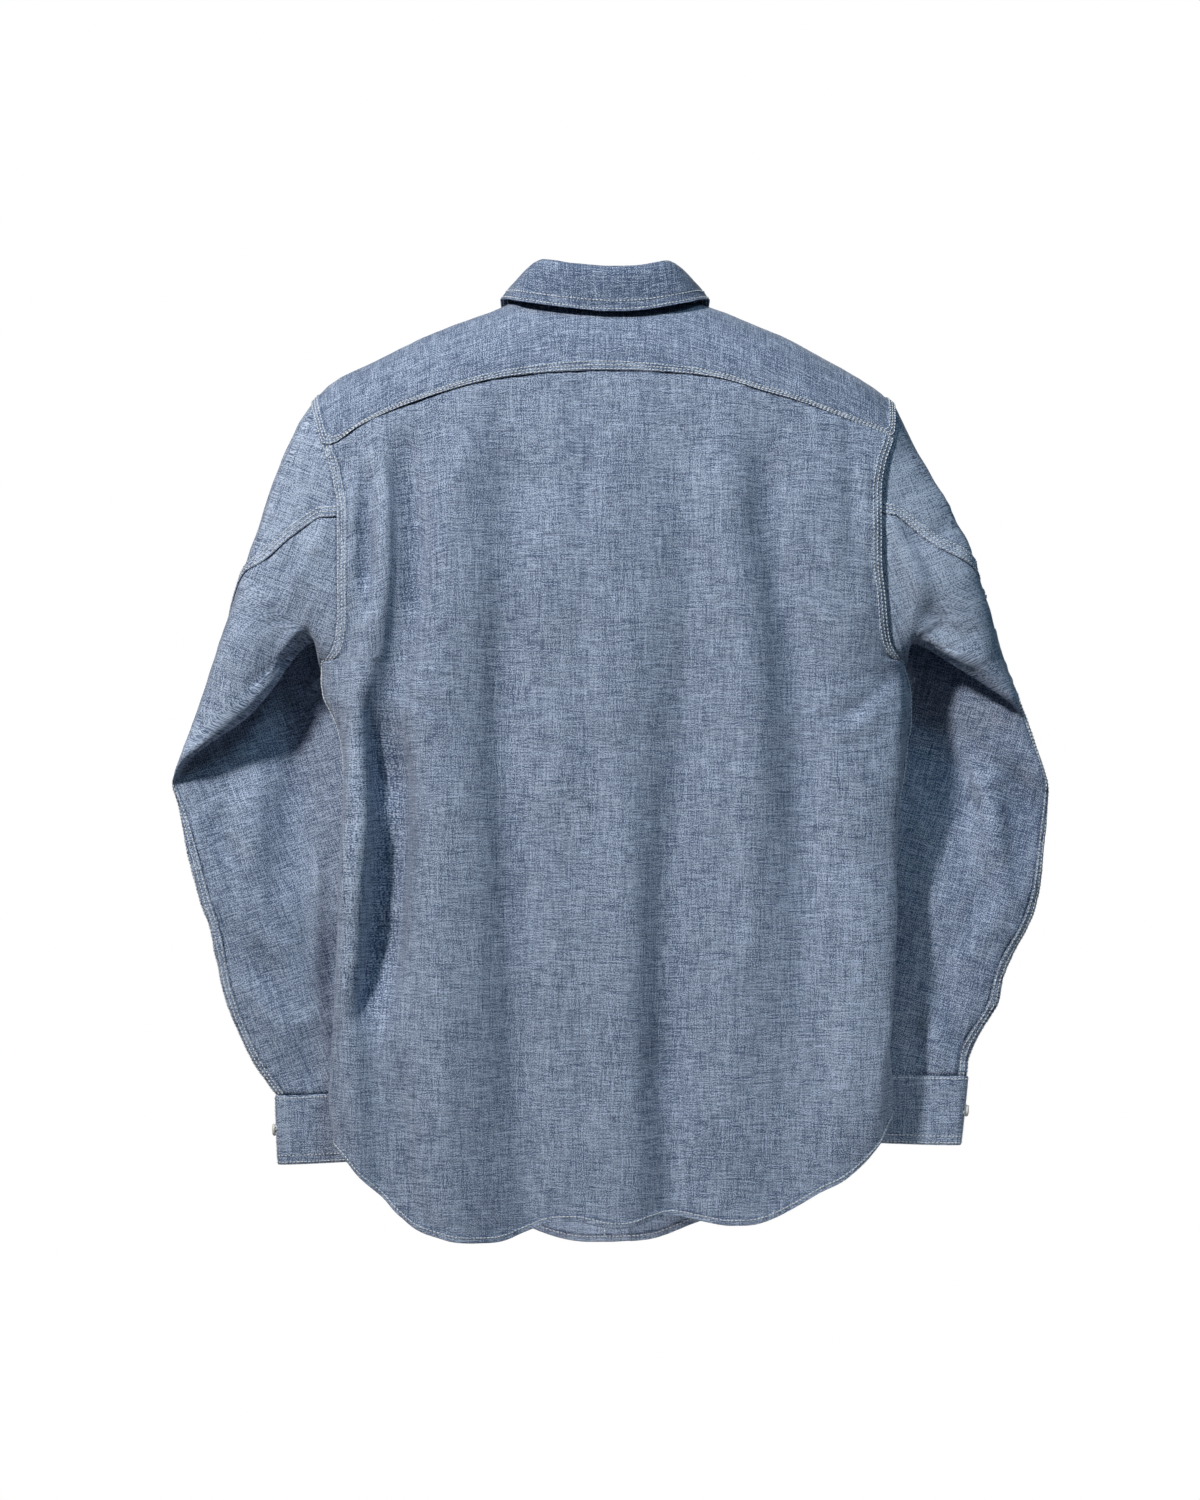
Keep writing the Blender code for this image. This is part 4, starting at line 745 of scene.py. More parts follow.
def finer_lines(lines, near, far, step):
    """Lines of points cut again: fixed distances at both ends, even steps between."""
    near, far = np.array(EDGE_LINES[near]) * MM, np.array(EDGE_LINES[far]) * MM
    lengths = np.array([run_of(line)[-1] for line in lines])
    count = max(2, math.ceil((lengths.mean() - near[-1] - far[-1]) / (step * MM)))
    result = []
    for line, length in zip(lines, lengths):
        room = min(1.0, 0.8 * length / (near[-1] + far[-1]))
        a, b = near * room, length - far[::-1] * room
        result.append(along(line, np.concatenate((a, np.linspace(a[-1], b[0], count + 1)[1:-1], b))))
    return np.array(result)


class Panel:
    """One piece of cloth: its base surface, how far it stands out, and its tone, rubbed paler in places and darkened
    or lightened as painted shade and painted light.
    """

    def __init__(self, name, grid, edges, step=CLOTH_STEP, rows=True, number=0):
        self.name, self.edges, self.number = name, dict(zip(EDGES, edges)), number
        grid = finer_lines(grid, edges[0], edges[1], step)
        if rows:
            grid = np.moveaxis(finer_lines(np.moveaxis(grid, 1, 0), edges[2], edges[3], step), 1, 0)
        self.base, self.extra = grid[..., :3], grid[..., 3:]
        if self.extra.shape[-1] == 0:
            self.extra = np.zeros(grid.shape[:2] + (1,))
        across = np.linalg.norm(np.diff(self.base, axis=1), axis=2)
        down = np.linalg.norm(np.diff(self.base, axis=0), axis=2)
        first = np.concatenate((np.zeros((len(grid), 1)), np.cumsum(across, axis=1)), axis=1)
        low = np.concatenate((np.zeros((1, grid.shape[1])), np.cumsum(down, axis=0)))
        self.away = {"first": first, "last": first[:, -1:] - first, "low": low, "high": low[-1:] - low}
        du, dv = np.gradient(self.base, axis=1), np.gradient(self.base, axis=0)
        normal = np.cross(du, dv)
        self.normal = normal / (np.linalg.norm(normal, axis=2)[..., None] + 1e-15)
        self.height = np.zeros(grid.shape[:2])
        self.wear, self.inside_painted_light = np.zeros(grid.shape[:2]), 0.0
        self.slide = np.zeros(self.base.shape)
        a, b, c, d = self.base[:-1, :-1], self.base[:-1, 1:], self.base[1:, 1:], self.base[1:, :-1]
        self.area = np.linalg.norm(np.cross(c - a, d - b), axis=2).sum() / 2
        self.flat = (first[:, -1].max(), low[-1].max())
        self.uv = np.stack((first - first[:, -1:] / 2, low - low[-1:] / 2), axis=-1)

    def upright(self, middle):
        """Lays the weave out from one column, with warp and weft as on the body."""
        u = np.hypot(*(np.diff(self.base[..., i], axis=1) for i in (0, 1)))
        v = np.hypot(*(np.diff(self.base[..., i], axis=0) for i in (1, 2)))
        u = np.concatenate((np.zeros((len(u), 1)), np.cumsum(u, axis=1)), axis=1)
        v = np.concatenate((np.zeros((1, v.shape[1])), np.cumsum(v, axis=0)))
        row = int(np.argmin(np.abs(self.extra[:, middle, 0] - 1)))
        u = u - u[:, middle:middle + 1] + self.base[:, middle:middle + 1, 0] * np.sign(u[0, -1])
        self.uv = np.stack((u, v - v[row:row + 1] + self.base[row:row + 1, :, 2]), axis=-1)

    def sleeve_weave(self, upper, forearm):
        """Lays the weave out along the sleeve, with the direction of each half as x and z."""
        bend = ease(self.extra[..., 0] - 10.5)
        way = mix(np.array(upper), np.array(forearm), bend[..., None])
        way /= np.linalg.norm(way, axis=-1)[..., None]
        elbow = self.base[int(np.argmin(np.abs(self.extra[:, 0, 0] - 11)))].mean(axis=0)
        x, z = self.base[..., 0] - elbow[0], self.base[..., 2] - elbow[2]
        down, side = -(x * way[..., 0] + z * way[..., 1]), z * way[..., 0] - x * way[..., 1]
        y = self.base[..., 1]
        flip = -1 if y[:, 0].mean() > y[:, -1].mean() else 1
        side, y = side[:, ::flip], y[:, ::flip]
        half = y.shape[1] // 2
        out = np.sign((side[:, half] - side[:, 0]).sum())
        edge = np.argmax(side * out, axis=1)
        furthest = np.take_along_axis(side, edge[:, None], axis=1)
        facing = np.abs(self.normal[:, ::flip, 0] * way[:, ::flip, 1] - self.normal[:, ::flip, 2] * way[:, ::flip, 0])
        turn = np.cumsum(ease((facing - 0.7) / 0.2) * np.abs(np.gradient(y, axis=1)), axis=1)
        turned = np.where(np.arange(y.shape[1]) > edge[:, None], 2 * furthest - side, side) + out * turn
        self.uv = np.stack((turned[:, ::flip], down), axis=-1)

    def sew(self, edge, kind=None, amount=1.0):
        """Shapes one edge: the width that is folded or felled, its puckers and rubbed paler band, and a painted shadow
        line beside the step of a felled seam, tucked edge or hem.
        """
        kind = kind or self.edges[edge]
        d = self.away[edge] / MM
        s = self.uv[..., 1 if edge in ("first", "last") else 0]
        seed = 3 * self.number + EDGES.index(edge)
        amount = np.broadcast_to(amount, d.shape)
        tight = noise(s, d * MM, 3.6, 9, seed) + 0.5 * noise(s, d * MM, 2.2, 5, seed + 31)
        loose = noise(s, d * MM, 7.5, 17, seed + 5) + 0.6 * noise(s, d * MM, 4.8, 11, seed + 8)
        if kind == "raised":
            band = 1 - ease((d - FELL) / 0.9)
            self.height += amount * band * (0.72 + 0.26 * tight) * MM
            self.height += amount * (1 - band) * 0.55 * loose * np.exp(-(d - FELL) / 13) * MM
            self.height -= amount * 0.35 * np.exp(-((d - FELL - 1.2) / 1.2) ** 2) * MM
            # the felled band is rubbed paler; the dark line just past its edge is painted shadow of the step
            self.wear += amount * (band * (0.7 * tight + 0.1) - 1.2 * np.exp(-((d - FELL - 1.0) / 1.1) ** 2))
        elif kind == "tucked":
            self.height -= amount * 0.45 * (1 - ease(d / 5)) * MM
            self.height += amount * ease(d / 3) * 0.6 * loose * np.exp(-d / 13) * MM
            # a dark line along the tucked edge: painted shadow of the step
            self.wear -= amount * 0.9 * (1 - ease((d - 0.6) / 1.6))
            lines = {"first": (slice(None), 0), "last": (slice(None), -1), "low": (0,), "high": (-1,)}[edge]
            inner = {"first": (slice(None), 1), "last": (slice(None), -2), "low": (1,), "high": (-2,)}[edge]
            out = self.base[lines] - self.base[inner]
            out /= np.linalg.norm(out, axis=-1)[..., None] + 1e-12
            self.slide[lines] += (out * 1.1 - self.normal[lines] * 0.35) * MM * amount[lines][..., None]
        elif kind == "hem":
            band = 1 - ease((d - HEM_WIDTH) / 0.7)
            rope = noise(s + 0.9 * d * MM, d * MM, 3.4, 4, seed + 3)
            self.height += amount * band * (0.5 + 0.3 * rope) * MM
            self.height += amount * (1.1 * noise(s, 0 * s, 13, 9, seed) + 0.5 * loose) * np.exp(-d / 12) * MM
            # the hem band is rubbed paler; the dark line just above it is painted shadow of the step
            self.wear += amount * (band * (0.2 + 0.8 * rope) - 1.5 * np.exp(-((d - HEM_WIDTH - 0.7) / 1.0) ** 2))
        elif kind == "folded":
            self.height -= amount * 0.45 * (1 - ease(d / 1.6)) * MM
            self.height += amount * (0.16 * tight - 0.1) * np.exp(-((d - 2.2) / 1.6) ** 2) * MM
            self.wear += amount * (0.5 + 0.5 * tight) * (1 - ease((d - 0.2) / 1.4))

    def rumple(self, amount=1.0, seed=0):
        """The unevenness of washed cloth, from broad swells to small dents."""
        u, v = self.uv[..., 0], self.uv[..., 1]
        k = seed + self.number * 5
        broad = noise(u, v, 46, 78, k) * 1.5 + noise(u, v, 24, 38, k + 1) * 0.8
        fine = noise(u + 0.4 * v, v, 9, 21, k + 2) * 0.3 + noise(u, v, 4.6, 8.2, k + 3) * 0.16
        soft = np.ones(u.shape)
        for edge in EDGES:
            soft = soft * (0.25 + 0.75 * ease(self.away[edge] / MM / 22))
        self.height += amount * (broad * soft + fine) * MM

    def steady(self, face):
        """Takes the body's own normals where rows crowd together beside the underarm."""
        x, z, step = self.base[..., 0], self.base[..., 2], 1.5 * MM
        across = on_body(x + step, z, face) - on_body(x - step, z, face)
        down = on_body(x, z + step, face) - on_body(x, z - step, face)
        normal = np.cross(across, down)
        normal *= (np.sign(normal[..., 1]) * face / np.linalg.norm(normal, axis=2))[..., None]
        near = np.exp(-((z - UNDERARM) / (12 * MM)) ** 2)
        near *= ease((np.minimum(self.away["first"], self.away["last"]) - 3 * MM) / (6 * MM))
        normal = mix(self.normal, normal, near[..., None])
        self.normal = normal / np.linalg.norm(normal, axis=2)[..., None]

    def crease(self, face, points, width, height, low=-9.0, high=99.0):
        """A soft ridge, coloured paler as painted light, or with a negative height a trough,
        coloured darker as painted shade, along points of x and z. Its width is one number, or two: towards -x and
        towards +x."""
        x, z = self.base[..., 0] / MM, self.base[..., 2] / MM
        points = np.array(points, float)
        lengths = np.linalg.norm(np.diff(points, axis=0), axis=1)
        starts = np.concatenate(([0], np.cumsum(lengths)))
        nearest, place, right = np.full(x.shape, 1e9), np.zeros(x.shape), np.zeros(x.shape, bool)
        for a, b, length, start in zip(points[:-1], points[1:], lengths, starts):
            way = (b - a) / length
            t = np.clip((x - a[0]) * way[0] + (z - a[1]) * way[1], 0, length)
            gap = np.hypot(x - a[0] - way[0] * t, z - a[1] - way[1] * t)
            place = np.where(gap < nearest, (start + t) / starts[-1], place)
            right = np.where(gap < nearest, x > a[0] + way[0] * t, right)
            nearest = np.minimum(gap, nearest)
        swell = np.sin(math.pi * np.clip(place, 0, 1)) ** 0.7 + 0.12
        wander = 1 + 0.25 * noise(place * 0.2, 0 * place, 24, 9, int(abs(points[0, 0])) % 40)
        on_face = ease(self.normal[..., 1] * face * 2.2)
        rows = ease((self.extra[..., 0] - low) / 0.8) * ease((high - self.extra[..., 0]) / 0.8)
        width = np.where(right, np.max(width[1:]), width[0]) if isinstance(width, tuple) else width
        shape = swell * wander * np.exp(-(nearest / width) ** 2) * on_face * rows
        self.height += height * MM * shape
        # painted light on the ridge and painted shade in the trough, in the cloth's tone
        self.wear += np.clip(height, -8, 5) * 0.09 * shape

    def shape(self, thickness=0.8, stand=0.35):
        """The two faces of the cloth."""
        self.outer = self.base + self.slide + self.normal * (self.height + stand * MM)[..., None]
        self.inner = self.outer - self.normal * thickness * MM

    def bridge(self, z, reach):
        """Draws the cloth straight over the rows that crowd together beside the underarm."""
        rows = np.flatnonzero(np.abs(self.base[:, self.base.shape[1] // 2, 2] - z) < reach)
        share = ease((np.minimum(self.away["first"], self.away["last"]) - 10 * MM) / (8 * MM))
        ends = []
        for row in (rows[0] - 1, rows[-1] + 1):
            x, y, level = self.outer[row].T
            first, last = sorted((int(np.argmin(x)), int(np.argmax(x))))
            order = slice(first, last + 1) if x[first] < x[last] else slice(last, first - 1 if first else None, -1)
            ends.append((x[order], y[order].copy(), level[order].copy()))
        for row in rows:
            x, y, level = self.outer[row].T
            (y_low, z_low), (y_high, z_high) = ((np.interp(x, e[0], e[1]), np.interp(x, e[0], e[2])) for e in ends)
            t = np.clip((level - z_low) / np.maximum(z_high - z_low, MM), 0, 1)
            shift = (mix(y_low, y_high, t) - y) * share[row]
            self.outer[row, :, 1] += shift
            self.inner[row, :, 1] += shift

    def line(self, edge, distance, low=None, high=None, ends=0.0, inside=False, span=(0.0, 1.0)):
        """Points and directions of a row of stitches, at a distance in mm from an edge."""
        face = self.inner if inside else self.outer
        way = -self.normal if inside else self.normal
        data = np.concatenate((face, way, self.extra[..., :1]), axis=-1)
        away = self.away[edge]
        others = ("low", "high") if edge in ("first", "last") else ("first", "last")
        data = np.concatenate((data, self.away[others[0]][..., None], self.away[others[1]][..., None]), axis=-1)
        if edge in ("low", "high"):
            data, away = np.moveaxis(data, 1, 0), away.T
        points = []
        for row, run in zip(data, away):
            order = slice(None) if run[0] < run[-1] else slice(None, None, -1)
            points.append([np.interp(distance * MM, run[order], row[order, i]) for i in range(row.shape[1])])
        points = np.array(points)
        keep = np.minimum(points[:, 7], points[:, 8]) >= ends * MM
        if low is not None:
            keep &= (points[:, 6] >= low) & (points[:, 6] <= high)
        points = points[keep]
        a, b = int(span[0] * len(points)), int(round(span[1] * len(points)))
        return points[a:b, :6]

    def build(self, material):
        rows, columns = self.base.shape[:2]
        at = np.arange(rows * columns).reshape(rows, columns)
        quads = np.stack((at[:-1, :-1], at[:-1, 1:], at[1:, 1:], at[1:, :-1]), axis=-1).reshape(-1, 4)
        count = rows * columns
        rim = np.concatenate((at[0, :-1], at[:-1, -1], at[-1, :0:-1], at[:0:-1, 0]))
        after = np.roll(rim, -1)
        sides = np.stack((rim, rim + count, after + count, after), axis=-1)
        faces = np.concatenate((quads, quads[:, ::-1] + count, sides))
        points = np.concatenate((self.outer.reshape(-1, 3), self.inner.reshape(-1, 3)))
        mesh = bpy.data.meshes.new(self.name)
        mesh.from_pydata(points.tolist(), [], faces.tolist())
        wear_and_shade_faces = np.concatenate((self.wear.ravel(), self.wear.ravel() + self.inside_painted_light))
        uv = np.tile(self.uv.reshape(-1, 2), (2, 1)) + np.array([0.83 * self.number, 0.31 * self.number])
        corners = np.empty(len(mesh.loops), dtype=np.int32)
        mesh.loops.foreach_get("vertex_index", corners)
        mesh.uv_layers.new(name="weave").data.foreach_set("uv", uv[corners].astype(np.float32).ravel())
        wear = mesh.attributes.new("wear", "FLOAT", "POINT")
        wear.data.foreach_set("value", wear_and_shade_faces.astype(np.float32))
        mesh.materials.append(material)
        mesh.shade_smooth()
        mesh.update()
        return add_piece(self.name, mesh)


def add_piece(name, mesh):
    piece = bpy.data.objects.new(name, mesh)
    bpy.context.scene.collection.objects.link(piece)
    return piece


# ---------------------------------------------------------------- finishes

def new_finish(name):
    material = bpy.data.materials.new(name)
    material.use_nodes = True
    return material, material.node_tree, material.node_tree.nodes["Principled BSDF"]


def node(tree, kind, **settings):
    made = tree.nodes.new(kind)
    for name, value in settings.items():
        if hasattr(made, name):
            setattr(made, name, value)
        else:
            made.inputs[name.replace("_", " ").title()].default_value = value
    return made


def stretched_noise(tree, source, scale, detail=3.0, rough=0.55, offset=(0, 0, 0), wander=0.0):
    """Noise on a source of coordinates, with its own scale each way."""
    place = node(tree, "ShaderNodeMapping")
    place.inputs["Scale"].default_value = scale
    place.inputs["Location"].default_value = offset
    tree.links.new(source, place.inputs["Vector"])
    cloud = node(tree, "ShaderNodeTexNoise", scale=1.0, detail=detail, roughness=rough,
                 distortion=wander)
    tree.links.new(place.outputs["Vector"], cloud.inputs["Vector"])
    return cloud.outputs["Fac"]


def sum_of(tree, terms, start):
    """start plus each output less a half, times its weight."""
    total = None
    for output, weight, middle in terms:
        step = node(tree, "ShaderNodeMath", operation="MULTIPLY_ADD")
        tree.links.new(output, step.inputs[0])
        step.inputs[1].default_value = weight
        if total is None:
            step.inputs[2].default_value = start - weight * middle
        else:
            shift = node(tree, "ShaderNodeMath", operation="ADD")
            tree.links.new(total, shift.inputs[0])
            shift.inputs[1].default_value = -weight * middle
            tree.links.new(shift.outputs[0], step.inputs[2])
        total = step.outputs[0]
    return total


def chambray_finish():
    """Plain weave of blue warp and pale weft: slubs both ways, flecks, soft fading, rubbed seams and edges, and
    painted shade and painted light from the panels.
    """
    material, tree, shader = new_finish("chambray")
    weave = node(tree, "ShaderNodeUVMap", uv_map="weave").outputs["UV"]
    warp = stretched_noise(tree, weave, (1250, 52, 1), 0.0, 0.5, wander=1.3)
    weft = stretched_noise(tree, weave, (64, 1250, 1), 0.0, 0.5, (3.1, 7.7, 0), 1.3)
    fleck = stretched_noise(tree, weave, (1250, 1150, 1), 0.0, 0.5, (9.4, 1.2, 0))
    cloud = stretched_noise(tree, weave, (70, 9, 1), 3.0, 0.6)
    threads = []
    for name in ("X", "Y"):
        bands = node(tree, "ShaderNodeTexWave", wave_type="BANDS", bands_direction=name, scale=640.0,
                     distortion=0.0)
        tree.links.new(weave, bands.inputs["Vector"])
        threads.append(bands.outputs["Fac"])
    cross = node(tree, "ShaderNodeMath", operation="MULTIPLY")
    tree.links.new(threads[0], cross.inputs[0])
    tree.links.new(threads[1], cross.inputs[1])
    # the tone also takes the panels' rubbed seams and edges and their painted shade and painted light
    wear = node(tree, "ShaderNodeAttribute", attribute_name="wear").outputs["Fac"]
    tone = sum_of(tree, ((warp, WARP_SLUB, 0.5), (weft, WEFT_SLUB, 0.5), (fleck, FLECK, 0.5),
                         (cloud, 0.36, 0.5), (cross.outputs[0], 0.16, 0.25), (wear, 0.20, 0.0)), 0.5)
    ramp = node(tree, "ShaderNodeValToRGB")
    ramp.color_ramp.interpolation = "LINEAR"
    ramp.color_ramp.elements[0].color = (*DARK_THREAD, 1)
    ramp.color_ramp.elements[1].color = (*PALE_THREAD, 1)
    middle = ramp.color_ramp.elements.new(0.5)
    middle.color = (*CLOTH_COLOUR, 1)
    tree.links.new(tone, ramp.inputs["Fac"])
    tree.links.new(ramp.outputs["Color"], shader.inputs["Base Color"])
    relief = sum_of(tree, ((warp, 0.5, 0.5), (weft, 0.6, 0.5), (fleck, 0.5, 0.5), (cross.outputs[0], 0.35, 0.25)), 0.5)
    bump = node(tree, "ShaderNodeBump", strength=0.55, distance=0.00035)
    tree.links.new(relief, bump.inputs["Height"])
    tree.links.new(bump.outputs["Normal"], shader.inputs["Normal"])
    shader.inputs["Roughness"].default_value = 0.9
    shader.inputs["Specular IOR Level"].default_value = 0.22
    shader.inputs["Sheen Weight"].default_value = 0.18
    shader.inputs["Sheen Roughness"].default_value = 0.45
    return material


def thread_finish():
    """Ecru sewing thread, a little uneven."""
    material, tree, shader = new_finish("thread")
    place = node(tree, "ShaderNodeTexCoord").outputs["Object"]
    tint = stretched_noise(tree, place, (260, 260, 260), 2.0)
    ramp = node(tree, "ShaderNodeValToRGB")
    ramp.color_ramp.elements[0].position, ramp.color_ramp.elements[1].position = 0.3, 0.7
    ramp.color_ramp.elements[0].color = (0.80, 0.82, 0.82, 1)
    ramp.color_ramp.elements[1].color = (0.94, 0.93, 0.90, 1)
    tree.links.new(tint, ramp.inputs["Fac"])
    tree.links.new(ramp.outputs["Color"], shader.inputs["Base Color"])
    shader.inputs["Roughness"].default_value = 0.7
    return material


def button_finish():
    """Cream polyester with a soft clouded grain."""
    material, tree, shader = new_finish("button")
    place = node(tree, "ShaderNodeTexCoord").outputs["Object"]
    grain = stretched_noise(tree, place, (420, 420, 90), 4.0, 0.6)
    ramp = node(tree, "ShaderNodeValToRGB")
    ramp.color_ramp.elements[0].position, ramp.color_ramp.elements[1].position = 0.32, 0.68
    ramp.color_ramp.elements[0].color = (0.60, 0.57, 0.50, 1)
    ramp.color_ramp.elements[1].color = (0.86, 0.83, 0.76, 1)
    tree.links.new(grain, ramp.inputs["Fac"])
    tree.links.new(ramp.outputs["Color"], shader.inputs["Base Color"])
    shader.inputs["Roughness"].default_value = 0.28
    shader.inputs["Coat Weight"].default_value = 0.3
    shader.inputs["Coat Roughness"].default_value = 0.12
    return material


CLOTH_COLOUR = (0.245, 0.298, 0.408)
DARK_THREAD = (0.058, 0.088, 0.158)
PALE_THREAD = (0.570, 0.650, 0.790)
WARP_SLUB, WEFT_SLUB, FLECK = 1.1, 1.3, 2.6


# ---------------------------------------------------------------- stitches

def stitch_tree(name, across):
    """Geometry nodes that lay one stitch after another along lines; "up" points off the cloth."""
    tree = bpy.data.node_groups.new(name, "GeometryNodeTree")
    sockets = tree.interface
    sockets.new_socket("Geometry", in_out="OUTPUT", socket_type="NodeSocketGeometry")
    sockets.new_socket("Geometry", in_out="INPUT", socket_type="NodeSocketGeometry")
    for label, value in (("Pitch", 0.0031), ("Length", 0.0024), ("Thread", 0.0009), ("Unevenness", 0.14)):
        sockets.new_socket(label, in_out="INPUT", socket_type="NodeSocketFloat").default_value = value
    sockets.new_socket("Seed", in_out="INPUT", socket_type="NodeSocketInt").default_value = 1
    sockets.new_socket("Material", in_out="INPUT", socket_type="NodeSocketMaterial")
    made = {}
    for label, kind in (("in", "NodeGroupInput"), ("out", "NodeGroupOutput"), ("curve", "GeometryNodeMeshToCurve"),
                        ("even", "GeometryNodeResampleCurve"), ("ball", "GeometryNodeMeshUVSphere"),
                        ("place", "GeometryNodeInstanceOnPoints"), ("real", "GeometryNodeRealizeInstances"),
                        ("paint", "GeometryNodeSetMaterial"), ("smooth", "GeometryNodeSetShadeSmooth"),
                        ("way", "GeometryNodeInputTangent"), ("up", "GeometryNodeInputNamedAttribute"),
                        ("turn", "FunctionNodeAlignRotationToVector"), ("roll", "FunctionNodeAlignRotationToVector"),
                        ("size", "ShaderNodeCombineXYZ"), ("vary", "FunctionNodeRandomValue"),
                        ("grow", "ShaderNodeVectorMath"), ("low", "ShaderNodeMath"), ("high", "ShaderNodeMath")):
        made[label] = tree.nodes.new(kind)
    link = tree.links.new
    made["even"].mode = "LENGTH"
    made["ball"].inputs["Segments"].default_value = 6
    made["ball"].inputs["Rings"].default_value = 4
    made["ball"].inputs["Radius"].default_value = 0.5
    made["up"].data_type = "FLOAT_VECTOR"
    made["up"].inputs["Name"].default_value = "up"
    made["turn"].axis = "Y" if across else "X"
    made["roll"].axis, made["roll"].pivot_axis = "Z", "Y" if across else "X"
    made["vary"].data_type = "FLOAT"
    made["low"].operation, made["high"].operation = "SUBTRACT", "ADD"
    made["low"].inputs[0].default_value = made["high"].inputs[0].default_value = 1.0
    made["grow"].operation = "SCALE"
    inputs = made["in"].outputs
    link(inputs["Geometry"], made["curve"].inputs["Mesh"])
    link(made["curve"].outputs["Curve"], made["even"].inputs["Curve"])
    link(inputs["Pitch"], made["even"].inputs["Length"])
    link(made["even"].outputs["Curve"], made["place"].inputs["Points"])
    link(made["ball"].outputs["Mesh"], made["smooth"].inputs["Geometry"])
    link(made["smooth"].outputs["Geometry"], made["place"].inputs["Instance"])
    link(made["way"].outputs["Tangent"], made["turn"].inputs["Vector"])
    link(made["turn"].outputs["Rotation"], made["roll"].inputs["Rotation"])
    link(made["up"].outputs["Attribute"], made["roll"].inputs["Vector"])
    link(made["roll"].outputs["Rotation"], made["place"].inputs["Rotation"])
    link(inputs["Length"], made["size"].inputs["X"])
    link(inputs["Thread"], made["size"].inputs["Y"])
    link(inputs["Thread"], made["size"].inputs["Z"])
    link(inputs["Unevenness"], made["low"].inputs[1])
    link(inputs["Unevenness"], made["high"].inputs[1])
    link(made["low"].outputs[0], made["vary"].inputs[2])
    link(made["high"].outputs[0], made["vary"].inputs[3])
    link(inputs["Seed"], made["vary"].inputs["Seed"])
    link(made["size"].outputs["Vector"], made["grow"].inputs["Vector"])
    link(made["vary"].outputs[1], made["grow"].inputs["Scale"])
    link(made["grow"].outputs["Vector"], made["place"].inputs["Scale"])
    link(made["place"].outputs["Instances"], made["real"].inputs["Geometry"])
    link(made["real"].outputs["Geometry"], made["paint"].inputs["Geometry"])
    link(inputs["Material"], made["paint"].inputs["Material"])
    link(made["paint"].outputs["Geometry"], made["out"].inputs["Geometry"])
    return tree


def stitching(name, lines, tree, material, lift=0.2, **sizes):
    """One piece of all stitches along some lines of points and directions."""
    points, ways, edges, count = [], [], [], 0
    for line in lines:
        points.append(line[:, :3] + line[:, 3:6] * lift * MM)
        ways.append(line[:, 3:6])
        edges.append(np.stack((np.arange(len(line) - 1), np.arange(1, len(line))), axis=1) + count)
        count += len(line)
    mesh = bpy.data.meshes.new(name + "_lines")
    mesh.from_pydata(np.concatenate(points).tolist(), np.concatenate(edges).tolist(), [])
    up = mesh.attributes.new("up", "FLOAT_VECTOR", "POINT")
    up.data.foreach_set("vector", np.concatenate(ways).astype(np.float32).ravel())
    guide = add_piece(name + "_lines", mesh)
    modifier = guide.modifiers.new("stitches", "NODES")
    modifier.node_group = tree
    values = {"Seed": 7, "Material": material, **sizes}
    for item in tree.interface.items_tree:
        if item.in_out == "INPUT" and item.name in values:
            modifier[item.identifier] = values[item.name]
    graph = bpy.context.evaluated_depsgraph_get()
    done = bpy.data.meshes.new_from_object(guide.evaluated_get(graph))
    done.name = name
    for attribute in list(done.attributes):
        if attribute.name == "up":
            done.attributes.remove(attribute)
    if not done.materials:
        done.materials.append(material)
    bpy.data.objects.remove(guide)
    return add_piece(name, done)


# ---------------------------------------------------------------- buttons

def button_mesh(name, radius, thickness, material):
    """A four-hole button: a raised rim, a shallow dish and a rounded edge."""
    profile = ((0, 0.72), (0.30, 0.72), (0.52, 0.74), (0.62, 0.86), (0.72, 0.99), (0.80, 1.0), (0.90, 0.94),
               (0.97, 0.80), (1.0, 0.55), (0.98, 0.25), (0.90, 0.06), (0.78, 0.0), (0, 0.0))
    bm = bmesh.new()
    rings, sides = [], 40
    for r, h in profile:
        z = (h - 0.5) * thickness
        if r == 0:
            rings.append([bm.verts.new((0, 0, z))])
        else:
            rings.append([bm.verts.new((r * radius * math.cos(a), r * radius * math.sin(a), z))
                          for a in (2 * math.pi * i / sides for i in range(sides))])
    for upper, lower in zip(rings, rings[1:]):
        for i in range(sides):
            j = (i + 1) % sides
            corners = [upper[i % len(upper)], lower[i % len(lower)], lower[j % len(lower)], upper[j % len(upper)]]
            bm.faces.new([v for k, v in enumerate(corners) if v not in corners[:k]])
    bmesh.ops.recalc_face_normals(bm, faces=bm.faces)
    body = bpy.data.meshes.new(name)
    bm.to_mesh(body)
    bm.free()
    holes = bmesh.new()
    for x, y in ((1, 1), (-1, 1), (-1, -1), (1, -1)):
        bmesh.ops.create_cone(holes, cap_ends=True, segments=14, radius1=0.14 * radius, radius2=0.14 * radius,
                              depth=3 * thickness, matrix=Matrix.Translation((x * 0.2 * radius, y * 0.2 * radius, 0)))
    drill_mesh = bpy.data.meshes.new("drill")
    holes.to_mesh(drill_mesh)
    holes.free()
    blank, drill = add_piece("blank", body), add_piece("drill", drill_mesh)
    cut = blank.modifiers.new("holes", "BOOLEAN")
    cut.object, cut.operation, cut.solver = drill, "DIFFERENCE", "EXACT"
    done = bpy.data.meshes.new_from_object(blank.evaluated_get(bpy.context.evaluated_depsgraph_get()))
    bpy.data.objects.remove(blank)
    bpy.data.objects.remove(drill)
    done.materials.clear()
    done.materials.append(material)
    done.shade_smooth()
    done.set_sharp_from_angle(angle=math.radians(50))
    return done


